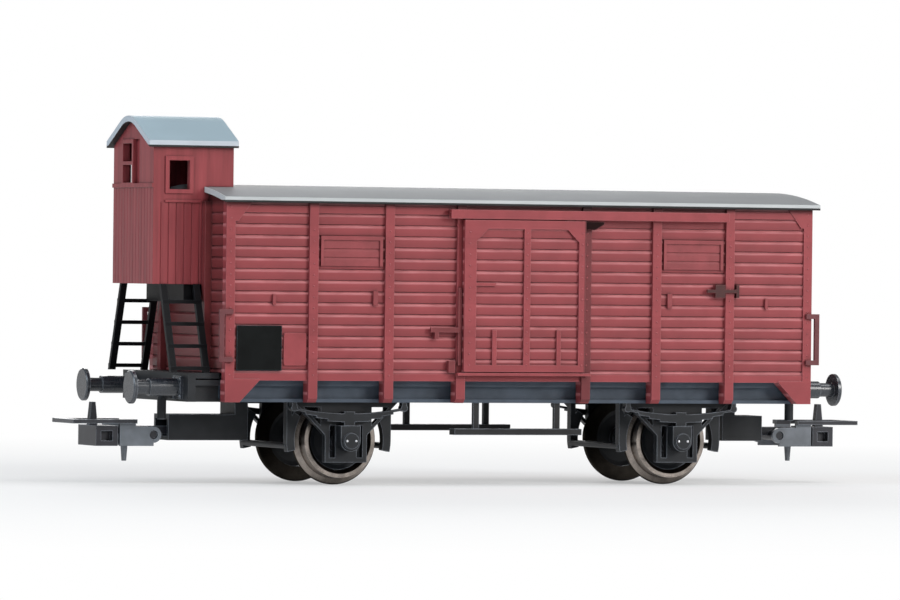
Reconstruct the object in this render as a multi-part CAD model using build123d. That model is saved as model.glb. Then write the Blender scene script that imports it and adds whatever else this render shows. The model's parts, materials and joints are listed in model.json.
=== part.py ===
from build123d import *
import math
import os

os.makedirs("parts", exist_ok=True)

# A 1:87 model of a two-axle covered goods wagon with a brakeman's cab, in millimetres.
# It stands on its wheel flanges at z = 0. The origin lies midway between the headstocks,
# +x runs along the wagon away from the cab, and the near side is -y.

# Clearances
SEAT = 0.05            # between pieces that rest on each other along curved faces
PRESS = 0.02           # radial, tyre on wheel centre and wheel centre on axle
PIN_FIT = 0.08         # radial, turning pins in their eyes
RUN = 0.15             # sliding door and wheel tips
CUT = 1.0              # how far a cutting shape runs past the face it cuts

# Wheels and axles
WHEELBASE = 51.7
TREAD_RADIUS = 5.5
FLANGE_DEPTH = 0.9
FLANGE_WIDTH = 0.75
FLANGE_ROUND = 0.25
BACK_TO_BACK = 14.4
TYRE_WIDTH = 2.75
TYRE_THICK = 1.25
TYRE_BEVEL = 0.55
TREAD_CONE = 0.12      # the tread's fall in radius from flange to outer edge
WEB_THICK = 0.7
RIM_RECESS = 0.7
RIM_LIP = 0.7
HUB_RADIUS = 1.7
HUB_CHAMFER = 0.35
AXLE_RADIUS = 0.9
TIP_RADIUS = 0.15
TIP_LENGTH = 1.3
TIP_COVER = 0.3        # from an axle's tip to the guard's outer face
WHEEL_SPACE = 2.45     # from the wheels' outer faces to the sole bars' backs

# Underframe
PLATFORM = 4.8         # from the cab end's wall out to its headstock's face
END_OVERHANG = 0.9     # of the other end's wall past its headstock's face
SOLE_INSET = 1.6       # of the sole bars' edges from the boards' face
SOLE_BOTTOM = 11.0     # heights with no other word are above the rails
SOLE_DEPTH = 1.5
SOLE_WEB = 0.6
SOLE_FLANGE = 0.5
FLOOR_BOTTOM = 13.3
FLOOR_TOP = 14.1
HEADSTOCK_THICK = 1.2
HEADSTOCK_TOP = 15.1
HEADSTOCK_INSET = 0.3
DECK_THICK = 0.8
SILL_GAP = 3.8         # between the two centre sills
SILL_WIDTH = 1.2
BALLAST_THICK = 0.9

# Body
BODY_LENGTH = 91.2
WALL = 1.2
BOARDS = 16
GROOVE_DEPTH = 0.25
BOARD_SLOPE = 0.32     # height of each board's sloped upper edge
BOARD_LIP = 0.07       # height of its lower edge's undercut
BAND_HEIGHT = 1.05     # plain bands along the wall's foot and head
BAND_PROUD = 0.12
BAND_DROP = 0.5        # from the wall's top down to the upper band
POST_WIDTH = 1.35
POST_PROUD = 0.5
FOOT_CHAMFER = 0.6
DOOR_POST_GAP = 0.35   # a door post's middle outside half the door's width
OUTER_POST_INSET = 13.2  # an outer post's middle from the wall's end
INNER_POST_SHIFT = 0.275  # an inner post's middle from midway, towards the door
GUSSET_PROUD = 0.25
GUSSET_LENGTH = 5.2
GUSSET_TOE = 2.2
TOP_GUSSET_LENGTH = 3.9
TOP_GUSSET_TOE = 1.8
TOP_GUSSET_HEIGHT = 2.8
END_POST_Y = 9.1
END_POST_WIDTH = 1.3
END_POST_PROUD = 1.0

# Roof
ROOF_END = 0.7         # overhang at each end
ROOF_EAVE = 1.4        # overhang at each side
ROOF_APEX = 41.9
ROOF_RISE = 1.85
ROOF_THICK = 0.75

# Doors and their tracks
DOOR_WIDTH = 18.8
DOOR_SHIFT = -0.3      # of the closed door's middle from the body's middle
DOOR_LAP = 0.7
DOOR_PANEL = 0.55
DOOR_FRAME_PROUD = 0.35
LOCK_STILE = 1.8
PLAIN_STILE = 1.05
DOOR_TOP_RAIL = 1.25
DOOR_FOOT_RAIL = 1.0
DOOR_CENTRE = 1.0
DOOR_BRACE = 1.8
DOOR_TRAVEL = 18.5
HANDLE_REACH = 4.85    # from the door's edge
HANDLE_HEIGHT = 0.45
HANDLE_Z = 27.8
GUIDE_BAR_X = 5.0
GUIDE_BAR_WIDTH = 0.65
GUIDE_BAR_HEIGHT = 5.0
HANGER_INSET = 2.2     # a hanger's middle from the door's edge
HANGER_WIDTH = 1.6
HANGER_THICK = 0.34
ROLLER_REACH = 3.0
ROLLER_HEIGHT = 1.25
ROLLER_TIP = 0.45
TRACK_DROP = 0.75      # from the wall's top down to the track's top
TRACK_HEIGHT = 1.3
TRACK_LEAD = 2.1       # past the closed door's lock edge
TRACK_STOP = 1.2       # past the open door's roller
TRACK_LIP = 0.3
TRACK_SLOT_DEPTH = 0.85
GUIDE_RAIL_TOP = 15.35
GUIDE_RAIL_HEIGHT = 0.4
GUIDE_RAIL_LEAD = 0.9  # past the closed door at each end

# Door lock, beside the closed door
LOCK_PROUD = 0.4       # past the door post's face
LOCK_ROD_WIDTH = 0.5
LOCK_ROD_BOTTOM = 16.4
LOCK_ROD_HEIGHT = 11.1
LOCK_LEVER_REACH = 4.2
LOCK_LEVER_BOTTOM = 21.1
LOCK_LEVER_HEIGHT = 0.7
LOCK_GUIDE_WIDTH = 0.6
LOCK_GUIDE_HEIGHT = 1.7
STOP_WIDTH = 1.0
STOP_HEIGHT = 1.7

# Vent flaps, their fittings and the board panel
FLAP_BOTTOM = 30.4
FLAP_HEIGHT = 3.7
FLAP_BOARDS = 3
FLAP_PROUD = 0.2
FLAP_GROOVE = 0.12
FLAP_MARGIN = 0.85     # from a flap's edge to the post beside it
FLAP_GUIDE = 0.45
FLAP_GUIDE_PROUD = 0.4
DRIP_HEIGHT = 0.6
CATCH_OFFSET = 2.1     # from the inner post's middle
CATCH_WIDTH = 0.7
CATCH_BOTTOM = 24.8
CATCH_HEIGHT = 2.1
HOOK_EYE_OFFSET = 5.9  # from the outer post's middle
HOOK_EYE_WIDTH = 0.45
HOOK_EYE_HEIGHT = 1.5
LATCH_BOTTOM = 26.4
LATCH_HEIGHT = 1.9
LATCH_BAR_HEIGHT = 0.5
LATCH_PROUD = 0.35     # past the post's face
LATCH_INNER = 3.1      # from the post's edge, towards the doorway
LATCH_PLATE = 1.6
LATCH_KEEPER = 0.45
LATCH_GAP = 0.2
PANEL_INSET = 1.7      # from the wall's end
PANEL_LENGTH = 6.8
PANEL_BOTTOM = 15.5
PANEL_HEIGHT = 6.4
PANEL_THICK = 0.3

# Brakeman's cab
CAB_REACH = 8.4        # out from the end wall
CAB_OVERLAP = 3.7      # over the body's roof
CAB_WIDTH = 16.8
CAB_BOTTOM = 27.6
CAB_WALL = 0.8
CAB_OVER_ROOF = 9.65   # from the body's roof up to the cab's
CAB_RIDGE_RADIUS = 7.5
CAB_ROOF_SLOPE = 26    # degrees, from the rounded ridge down to the eaves
CAB_ROOF_THICK = 0.85
CAB_ROOF_LIP = 0.9     # the roof's overhang past the cab's end face
CAB_ROOF_REAR = 0.5
CAB_ROOF_EAVE = 0.7
SIDE_PLANKS = 6
SIDE_SEAM = 7.0        # from the cab's end face to the last seam between planks
END_PLANKS = 14
PLANK_GROOVE = 0.09
LEDGE_DROP = 12.35     # below the cab roof's top, as are the windows' sills
LEDGE_HEIGHT = 0.35
LEDGE_EDGE = 1.7
LEDGE_LENGTH = 5.4
BEARER_REACH = 3.4
BEARER_HEIGHT = 2.5
SIDE_WINDOW_EDGE = 2.35
SIDE_WINDOW_WIDTH = 3.05
SIDE_WINDOW_DROP = 10.5
SIDE_WINDOW_HEIGHT = 4.1
END_WINDOW_Y = 2.1
END_WINDOW_WIDTH = 3.7
END_WINDOW_DROP = 9.55
END_WINDOW_HEIGHT = 5.6
CROSSBAR = 0.5
SLOT_Y = -1.4
SLOT_WIDTH = 2.1
SLOT_DEPTH = 0.4
FRAME_BORDER = 0.6
FRAME_PROUD = 0.22
MOULDING_HEIGHT = 0.6
MOULDING_GAP = 0.1     # under the end window's sill

# Ladders, footboards and handrails
LADDER_X = 49.9        # middle of the ladder, from the body's middle
LADDER_WIDTH = 5.9
LADDER_TOP_Y = 7.9
LADDER_FOOT_Y = 12.6
LADDER_STILE = 0.7     # across the wagon
STILE_WIDTH = 0.95     # along the wagon
LADDER_RUNGS = 4
RUNG_HEIGHT = 0.55
RUNG_LIFT = 0.35       # of the lowest rung above the deck
STEP_LENGTH = 19.8
STEP_WIDTH = 2.0
STEP_THICK = 0.9
STEP_TOP = 7.3
STEP_HANGER_X = 6.3
STEP_HANGER_WIDTH = 0.9
STEP_HANGER_THICK = 0.6
RAIL_BAR = 0.7         # a flat bar, bent square at both ends
RAIL_THICK = 0.5
RAIL_REACH = 1.05      # past the wall's end
RAIL_LAP = 1.0         # on the corner post
RAIL_LOW = 16.7
RAIL_HIGH = 24.15

# Axle guards, boxes and springs
GUARD_THICK = 1.1
GUARD_BOTTOM = 2.4
GUARD_LEG = 3.2
GUARD_SPREAD = 7.9
GUARD_BAR = 0.7
BOX_HALF = 1.5
BOX_TOP = 7.7
BOX_DEPTH = 1.9
COVER_RADIUS = 1.15
COVER_PROUD = 0.4
SPRING_HALF = 8.4
SPRING_SAG = 0.8
SPRING_END = 10.2
LEAVES = 4
LEAF_THICK = 0.3
SPRING_WIDTH = 1.2
BUCKLE_HALF = 0.8
EYE_RADIUS = 0.5
SHACKLE_WIDTH = 0.7

# Brake shoes
SHOE_GAP = 0.4         # outside the flange
SHOE_THICK = 1.2
SHOE_WIDTH = 1.3
SHOE_Y = 8.95
SHOE_LOW_ANGLE = -12
SHOE_HIGH_ANGLE = 30
BRAKE_HANGER = 0.8
BRAKE_BEAM = 0.45

# Buffers
BUFFER_HEIGHT = 13.0
BUFFER_SPACING = 20.1
BUFFER_LENGTH = 7.6
BUFFER_HEAD = 4.7
HEAD_THICK = 0.6
HEAD_EDGE = 0.15
BASE_SIZE = 3.3
BASE_THICK = 0.4
HOUSING_LENGTH = 4.7
HOUSING_RADIUS = 1.25
STEM_RADIUS = 1.0

# Couplers, measured outwards from the headstock's face
PIVOT_BACK = 4.5
PIVOT_RADIUS = 0.7
EYE_WALL = 0.75
DRAFT_WIDTH = 6.0
DRAFT_BOTTOM = 5.3
DRAFT_TOP = 9.0
DRAFT_WALL = 0.6
DRAFT_BACK = 1.0
DRAFT_FRONT = -1.0
DRAFT_TAILS = {"cab_end": 8.6, "plain_end": 2.9}  # behind the pivot
DRAFT_NECK = 2.0
SHANK_WIDTH = 2.2
SHANK_BOTTOM = 6.1
SHANK_TOP = 7.3
TRUNNION_X = 1.5
TRUNNION_HEIGHT = 6.1
TRUNNION_RADIUS = 0.75
TRUNNION_PIN = 0.55
PIN_RECESS = 0.2       # of the pin's end inside the arm's eye
HEAD_BACK = 6.9
HEAD_FRONT = 10.2
HEAD_WIDTH = 7.6
HEAD_BOTTOM = 4.5
HEAD_TOP = 7.4
POCKET_LENGTH = 1.7    # hollow in each side of the head
POCKET_HEIGHT = 1.4
POCKET_DEPTH = 1.0
HOOK_X = 9.45
HOOK_TOP = 10.7
HOOK_THICK = 1.1
HOOK_ROOT = 1.3
HOOK_TIP = 0.6
BAIL_WIDTH = 9.0
BAIL_TIP = 13.9
BAIL_BACK = 4.2
BAIL_BOTTOM = 7.7
BAIL_THICK = 0.6
BAIL_STRIP = 1.1
ARM_Y = 3.6            # middle of a side arm's thickness
ARM_THICK = 0.55
ARM_GAP = 0.15
ARM_END = 6.6
ARM_BOTTOM = 4.5
RING_RADIUS = 1.15
BAR_TOP = 5.0
BAR_WIDTH = 0.8
TRIP_X = 4.6
TRIP_BOTTOM = 2.3
TRIP_ROOT = 0.55
TRIP_TIP = 0.35
STUB_Y = -7.0
STUB_REACH = 1.5
STUB_TOP = 12.0
STUB_BOTTOM = 8.4
STUB_RADIUS = 0.65
STUB_BEND = 1.0

# Places worked out from the sizes above
RAIL = FLANGE_DEPTH                    # rail level above the flanges' lowest points
AXLE_Z = RAIL + TREAD_RADIUS
FLANGE_RADIUS = TREAD_RADIUS + FLANGE_DEPTH
BODY_X = (PLATFORM + END_OVERHANG) / 2
HEADSTOCK_X = (BODY_LENGTH + PLATFORM - END_OVERHANG) / 2
HALF_LENGTH = BODY_LENGTH / 2
WEB_INNER = BACK_TO_BACK / 2 + TYRE_WIDTH + WHEEL_SPACE
AXLE_HALF = WEB_INNER - TIP_COVER
FRAME_HALF = WEB_INNER + SOLE_DEPTH
HALF_WIDTH = FRAME_HALF + SOLE_INSET
INNER_HALF = HALF_WIDTH - WALL
POST_FACE = HALF_WIDTH + POST_PROUD
DOOR_BACK_Y = POST_FACE + RUN
DOOR_FACE_Y = DOOR_BACK_Y + DOOR_PANEL
DOOR_FRONT_Y = DOOR_FACE_Y + DOOR_FRAME_PROUD
DOOR_LEFT = BODY_X + DOOR_SHIFT - DOOR_WIDTH / 2
DOOR_RIGHT = DOOR_LEFT + DOOR_WIDTH
DOOR_POST_X = DOOR_WIDTH / 2 + DOOR_POST_GAP
OUTER_POST_X = HALF_LENGTH - OUTER_POST_INSET
INNER_POST_X = (DOOR_POST_X + OUTER_POST_X) / 2 - INNER_POST_SHIFT
CAB_ROOF_TOP = RAIL + ROOF_APEX + CAB_OVER_ROOF
AXLES = {"cab_end": BODY_X - WHEELBASE / 2, "plain_end": BODY_X + WHEELBASE / 2}
ENDS = {"cab_end": -1, "plain_end": 1}


def block(x0, x1, y0, y1, z0, z1):
    """A box between two corners."""
    return Pos((x0 + x1) / 2, (y0 + y1) / 2, (z0 + z1) / 2) * Box(x1 - x0, y1 - y0, z1 - z0)


def along_x(points, x0, x1):
    """A closed outline of (y, z) points carried from x0 to x1."""
    outline = Polyline(*[(x0, y, z) for y, z in points], close=True)
    return extrude(make_face(outline), amount=x1 - x0, dir=(1, 0, 0))


def along_y(points, y0, y1):
    """A closed outline of (x, z) points carried from y0 to y1."""
    outline = Polyline(*[(x, y0, z) for x, z in points], close=True)
    return extrude(make_face(outline), amount=y1 - y0, dir=(0, 1, 0))


def turned(points, axis):
    """A closed outline of (along, radius) points turned about an axis through the origin."""
    if axis == "x":
        outline = Polyline(*[(along, 0, radius) for along, radius in points], close=True)
        return revolve(make_face(outline), axis=Axis.X)
    if axis == "y":
        outline = Polyline(*[(0, along, radius) for along, radius in points], close=True)
        return revolve(make_face(outline), axis=Axis.Y)
    outline = Polyline(*[(radius, 0, along) for along, radius in points], close=True)
    return revolve(make_face(outline), axis=Axis.Z)


def upright(points, z0, z1):
    """A closed outline of (x, y) points carried from z0 to z1."""
    outline = Polyline(*[(x, y, z0) for x, y in points], close=True)
    return extrude(make_face(outline), amount=z1 - z0, dir=(0, 0, 1))


def rod_y(x, z, y0, y1, radius):
    """A round bar along y."""
    return Pos(x, (y0 + y1) / 2, z) * Rot(90, 0, 0) * Cylinder(radius, y1 - y0)


def bent_rod(points, bend, radius):
    """A round bar along straight runs with arcs at the corners."""
    path = FilletPolyline(*points, radius=bend)
    return sweep(Plane(origin=path @ 0, z_dir=path % 0) * Circle(radius), path=path)


def at_end(shape, end):
    """A piece drawn at the plain end, kept there or mirrored to the cab end."""
    return shape if end > 0 else mirror(shape, about=Plane.YZ)


def both_sides(shape):
    """A near-side piece and its mirror image on the far side."""
    return [shape, mirror(shape, about=Plane.XZ)]


def turned_round(shape):
    """A near-side piece turned half round the body's middle to the far side."""
    return Pos(BODY_X, 0, 0) * Rot(0, 0, 180) * Pos(-BODY_X, 0, 0) * shape


def save(node, *solids):
    export_step(Compound(children=list(solids)), f"parts/{node}.step")


def arch(half_width, apex, rise):
    """Radius and centre height of the arc that rises over a width."""
    radius = (half_width ** 2 + rise ** 2) / (2 * rise)
    return radius, apex - radius


ROOF_HALF = HALF_WIDTH + ROOF_EAVE
CAB_ROOF_HALF = CAB_WIDTH / 2 + CAB_ROOF_EAVE
ROOF_RADIUS, ROOF_CENTRE = arch(ROOF_HALF, RAIL + ROOF_APEX, ROOF_RISE)


def arc_height(radius, centre, y):
    return centre + math.sqrt(radius ** 2 - y ** 2)


def under_arc(radius, centre, half_width, bottom, x0, x1):
    """The solid under an arc over the wagon's width, down to a flat bottom."""
    shoulder = arc_height(radius, centre, half_width)
    top = ThreePointArc((x0, -half_width, shoulder), (x0, 0, centre + radius),
                        (x0, half_width, shoulder))
    sides = Polyline((x0, half_width, shoulder), (x0, half_width, bottom), (x0, -half_width, bottom),
                     (x0, -half_width, shoulder))
    return extrude(make_face([top, *sides.edges()]), amount=x1 - x0, dir=(1, 0, 0))


def arched_plate(radius, centre, half_width, thick, x0, x1):
    """A curved roof plate of even thickness with upright edges."""
    outer = under_arc(radius, centre, half_width, centre, x0, x1)
    hollow = under_arc(radius - thick, centre, half_width + thick, centre - thick,
                       x0 - thick, x1 + thick)
    return outer - hollow


def under_ridge(inset, half_width, bottom, x0, x1):
    """The solid under the cab roof's rounded ridge and straight slopes, drawn in by inset."""
    slope = math.radians(CAB_ROOF_SLOPE)
    radius = CAB_RIDGE_RADIUS - inset
    centre = CAB_ROOF_TOP - CAB_RIDGE_RADIUS
    knee_y, knee_z = radius * math.sin(slope), centre + radius * math.cos(slope)
    eave = knee_z - (half_width - knee_y) * math.tan(slope)
    ridge = ThreePointArc((x0, -knee_y, knee_z), (x0, 0, centre + radius), (x0, knee_y, knee_z))
    sides = Polyline((x0, knee_y, knee_z), (x0, half_width, eave), (x0, half_width, bottom),
                     (x0, -half_width, bottom), (x0, -half_width, eave), (x0, -knee_y, knee_z))
    return extrude(make_face([ridge, *sides.edges()]), amount=x1 - x0, dir=(1, 0, 0))


WALL_TOP = arc_height(ROOF_RADIUS - ROOF_THICK, ROOF_CENTRE, POST_FACE) - SEAT
BOARD_PITCH = (WALL_TOP - RAIL - FLOOR_TOP) / BOARDS
BOARD_LINES = [RAIL + FLOOR_TOP + board * BOARD_PITCH for board in range(1, BOARDS)]
TRACK_TOP = WALL_TOP - TRACK_DROP
TRACK_LOW = TRACK_TOP - TRACK_HEIGHT
DOOR_LOW = RAIL + GUIDE_RAIL_TOP + RUN
DOOR_HIGH = TRACK_LOW - RUN


def boarded(face, back, bottom, top, lines=BOARD_LINES, depth=GROOVE_DEPTH):
    """Outline of a boarded wall, (across, z), whose boards slope back to the lines between them."""
    inwards = depth if back > face else -depth
    points = [(back, top), (back, bottom), (face, bottom)]
    for z in lines:
        if bottom + BOARD_SLOPE < z < top - BOARD_LIP:
            points += [(face, z - BOARD_SLOPE), (face + inwards, z), (face, z + BOARD_LIP)]
    return points + [(face, top)]


# Underframe: floor, channel-shaped sole bars, headstocks, centre sills and the cab end's deck
def underframe():
    sole_low = RAIL + SOLE_BOTTOM
    floor_low = RAIL + FLOOR_BOTTOM
    head_back = HEADSTOCK_X - HEADSTOCK_THICK
    head_half = FRAME_HALF - HEADSTOCK_INSET
    body_end = BODY_X - HALF_LENGTH
    pieces = [block(-head_back, head_back, -head_half, head_half, floor_low, RAIL + FLOOR_TOP),
              block(body_end, head_back, -FRAME_HALF, FRAME_HALF, floor_low, RAIL + FLOOR_TOP),
              block(-head_back, body_end - SEAT, -head_half, head_half,
                    RAIL + HEADSTOCK_TOP - DECK_THICK, RAIL + HEADSTOCK_TOP)]
    for side in (-1, 1):
        web = sorted((side * WEB_INNER, side * (WEB_INNER + SOLE_WEB)))
        flange = sorted((side * WEB_INNER, side * FRAME_HALF))
        sill = sorted((side * SILL_GAP / 2, side * (SILL_GAP / 2 + SILL_WIDTH)))
        head = sorted((side * head_back, side * HEADSTOCK_X))
        pieces.append(block(-head_back, head_back, *web, sole_low, floor_low))
        pieces.append(block(body_end, head_back, *flange, sole_low, sole_low + SOLE_FLANGE))
        pieces.append(block(-head_back, head_back, *sill, sole_low, floor_low))
        pieces.append(block(*head, -head_half, head_half, sole_low, RAIL + HEADSTOCK_TOP))
    return pieces[0].fuse(*pieces[1:])


def ballast_plate():
    half_length = HALF_LENGTH - WALL - SEAT
    end = min(BODY_X + half_length, HEADSTOCK_X - HEADSTOCK_THICK - SEAT)
    return block(BODY_X - half_length, end, -INNER_HALF + SEAT, INNER_HALF - SEAT,
                 RAIL + FLOOR_TOP, RAIL + FLOOR_TOP + BALLAST_THICK)


# Running gear
def wheel_tyre(inner, width):
    """One flanged tyre about the y axis, its inner face at y = inner."""
    outer = inner + width
    bore = TREAD_RADIUS - TYRE_THICK
    root = inner + FLANGE_WIDTH
    shoulder = FLANGE_RADIUS - FLANGE_ROUND
    return turned([(inner, bore), (outer - TYRE_BEVEL, bore), (outer, bore + TYRE_BEVEL),
                   (outer, TREAD_RADIUS - TREAD_CONE), (root, TREAD_RADIUS), (root - FLANGE_ROUND, shoulder),
                   (inner + FLANGE_ROUND, FLANGE_RADIUS), (inner, shoulder)], "y")


def wheel_centre(inner, width):
    """The dished disc and hub inside a tyre."""
    middle = inner + width / 2
    rim = TREAD_RADIUS - TYRE_THICK - PRESS
    hole = AXLE_RADIUS + PRESS
    web = WEB_THICK / 2
    rim_back = inner + FLANGE_WIDTH
    rim_front = inner + width - RIM_RECESS
    lip = rim - RIM_LIP
    return turned([(inner, hole), (inner + width, hole), (inner + width, HUB_RADIUS - HUB_CHAMFER),
                   (middle + web, HUB_RADIUS), (middle + web, lip), (rim_front, rim), (rim_back, rim),
                   (middle - web, lip), (middle - web, HUB_RADIUS), (inner, HUB_RADIUS)], "y")


def axle():
    shoulder = AXLE_HALF - TIP_LENGTH
    return turned([(-AXLE_HALF, 0), (-AXLE_HALF, TIP_RADIUS), (-shoulder, AXLE_RADIUS),
                   (shoulder, AXLE_RADIUS), (AXLE_HALF, TIP_RADIUS), (AXLE_HALF, 0)], "y")


def bearing():
    """The conical hole for an axle's near tip, wider than the tip all round."""
    end = AXLE_HALF + RUN
    shoulder = AXLE_HALF - TIP_LENGTH
    return turned([(-end, 0), (-end, TIP_RADIUS + RUN / 2),
                   (-shoulder - RUN, AXLE_RADIUS + RUN), (-shoulder + RUN, AXLE_RADIUS + RUN),
                   (-shoulder + RUN, 0)], "y")


def axle_guard(x):
    """A near-side W-shaped guard plate with its stays, slots and bearing."""
    low = RAIL + GUARD_BOTTOM
    high = RAIL + FLOOR_BOTTOM
    sole = RAIL + SOLE_BOTTOM
    knee = sole - (GUARD_SPREAD - GUARD_LEG)
    back = -WEB_INNER
    face = back + GUARD_THICK
    plate = along_y([(x - GUARD_LEG, low), (x + GUARD_LEG, low), (x + GUARD_LEG, knee),
                     (x + GUARD_SPREAD, sole), (x + GUARD_SPREAD, high), (x - GUARD_SPREAD, high),
                     (x - GUARD_SPREAD, sole), (x - GUARD_LEG, knee)], back, face)
    cuts = [Pos(x, 0, AXLE_Z) * bearing()]
    for side in (-1, 1):
        inner = x + side * (GUARD_LEG + GUARD_BAR)
        outer = x + side * (GUARD_SPREAD - 2 * GUARD_BAR)
        cuts.append(along_y([(inner, sole - GUARD_BAR), (outer, sole - GUARD_BAR),
                             (inner, sole - GUARD_BAR - abs(outer - inner))], back - RUN, face + RUN))
        slot = sorted((x + side * (BOX_HALF + RUN), x + side * (GUARD_LEG - GUARD_BAR)))
        cuts.append(block(*slot, back - RUN, face + RUN, low + GUARD_BAR, RAIL + BOX_TOP))
    return plate.cut(*cuts)


def axle_box(x):
    """A near-side bearing box with a round bottom and a round cover."""
    back = -WEB_INNER
    face = back - BOX_DEPTH
    body = block(x - BOX_HALF, x + BOX_HALF, face, back, AXLE_Z, RAIL + BOX_TOP)
    return body.fuse(rod_y(x, AXLE_Z, face, back, BOX_HALF),
                     rod_y(x, AXLE_Z, face - COVER_PROUD, face, COVER_RADIUS))


def leaf_spring(x):
    """A near-side laminated spring, its buckle on the axle box and its shackles under the sole bar."""
    radius = (SPRING_HALF ** 2 + SPRING_SAG ** 2) / (2 * SPRING_SAG)
    middle = RAIL + SPRING_END - SPRING_SAG
    centre = middle + radius
    back = -(WEB_INNER + (SOLE_DEPTH - SPRING_WIDTH) / 2)
    face = back - SPRING_WIDTH
    pieces = []
    for leaf in range(LEAVES):
        upper = radius + leaf * LEAF_THICK
        lower = upper + LEAF_THICK
        half = SPRING_HALF * (1 - leaf / (LEAVES + 1))
        ring = rod_y(x, centre, face, back, lower) - rod_y(x, centre, face - RUN, back + RUN, upper)
        pieces.append(ring & block(x - half, x + half, face - RUN, back + RUN, RAIL, centre))
    pieces.append(block(x - BUCKLE_HALF, x + BUCKLE_HALF, face, back, RAIL + BOX_TOP,
                        middle + LEAF_THICK))
    for side in (-1, 1):
        eye = x + side * SPRING_HALF
        pieces.append(rod_y(eye, RAIL + SPRING_END, face, back, EYE_RADIUS))
        pieces.append(block(eye - SHACKLE_WIDTH / 2, eye + SHACKLE_WIDTH / 2, face, back,
                            RAIL + SPRING_END, RAIL + SOLE_BOTTOM))
    return pieces[0].fuse(*pieces[1:])


def brake_unit(x, side):
    """Two shoes on hangers, joined by a beam that passes below the draft boxes."""
    inner = FLANGE_RADIUS + SHOE_GAP
    outer = inner + SHOE_THICK
    hanger = x + side * (outer - BRAKE_HANGER / 2)
    low, high = (math.radians(angle) for angle in (SHOE_LOW_ANGLE, SHOE_HIGH_ANGLE))
    reach = 2 * outer
    wedge = [(x, AXLE_Z), (x + side * reach * math.cos(low), AXLE_Z + reach * math.sin(low)),
             (x + side * reach * math.cos(high), AXLE_Z + reach * math.sin(high))]
    pieces = []
    for y in (-SHOE_Y, SHOE_Y):
        near, far = y - SHOE_WIDTH / 2, y + SHOE_WIDTH / 2
        ring = rod_y(x, AXLE_Z, near, far, outer) - rod_y(x, AXLE_Z, near - RUN, far + RUN, inner)
        pieces.append(ring & along_y(wedge, near - RUN, far + RUN))
        pieces.append(block(hanger - BRAKE_HANGER / 2, hanger + BRAKE_HANGER / 2, near, far,
                            AXLE_Z, RAIL + FLOOR_BOTTOM))
    beam = RAIL + DRAFT_BOTTOM - RUN - BRAKE_BEAM
    pieces.append(rod_y(hanger, beam, -SHOE_Y, SHOE_Y, BRAKE_BEAM))
    return pieces[0].fuse(*pieces[1:])


def footboard():
    """The near-side step under the door, hung from the sole bar by two straps."""
    top = RAIL + STEP_TOP
    strap_back = -(WEB_INNER + SOLE_WEB)
    middle = strap_back - STEP_HANGER_THICK / 2
    step = block(BODY_X - STEP_LENGTH / 2, BODY_X + STEP_LENGTH / 2, middle - STEP_WIDTH / 2,
                 middle + STEP_WIDTH / 2, top - STEP_THICK, top)
    straps = [block(BODY_X + x - STEP_HANGER_WIDTH / 2, BODY_X + x + STEP_HANGER_WIDTH / 2,
                    strap_back - STEP_HANGER_THICK, strap_back, top - STEP_THICK, RAIL + SOLE_BOTTOM)
              for x in (-STEP_HANGER_X, STEP_HANGER_X)]
    return step.fuse(*straps)


# End gear, drawn at the plain end
def buffer(y):
    shaft = BUFFER_LENGTH - HEAD_THICK
    head = BUFFER_HEAD / 2
    body = turned([(0, 0), (0, HOUSING_RADIUS), (HOUSING_LENGTH, HOUSING_RADIUS),
                   (HOUSING_LENGTH, STEM_RADIUS), (shaft, STEM_RADIUS), (shaft, head),
                   (BUFFER_LENGTH - HEAD_EDGE, head), (BUFFER_LENGTH, head - HEAD_EDGE),
                   (BUFFER_LENGTH, 0)], "x")
    base = block(0, BASE_THICK, -BASE_SIZE / 2, BASE_SIZE / 2, -BASE_SIZE / 2, BASE_SIZE / 2)
    return Pos(HEADSTOCK_X, y, RAIL + BUFFER_HEIGHT) * (body + base)


def pivot_pin(radius, z0, z1):
    return Pos(HEADSTOCK_X - PIVOT_BACK, 0, (z0 + z1) / 2) * Cylinder(radius, z1 - z0)


def draft_box(inner):
    """A coupler's housing under the centre sills, open in front, with its pivot pin inside."""
    half = DRAFT_WIDTH / 2
    low, high = RAIL + DRAFT_BOTTOM, RAIL + DRAFT_TOP
    front = HEADSTOCK_X + DRAFT_FRONT
    body = block(inner, front, -half, half, low, high)
    hollow = block(inner + DRAFT_BACK, front + RUN, -half + DRAFT_WALL, half - DRAFT_WALL,
                   low + DRAFT_WALL, high - DRAFT_WALL)
    neck = block(inner, inner + DRAFT_NECK, -half, half, high, RAIL + SOLE_BOTTOM)
    return (body - hollow).fuse(neck, pivot_pin(PIVOT_RADIUS, low, high))


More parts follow.
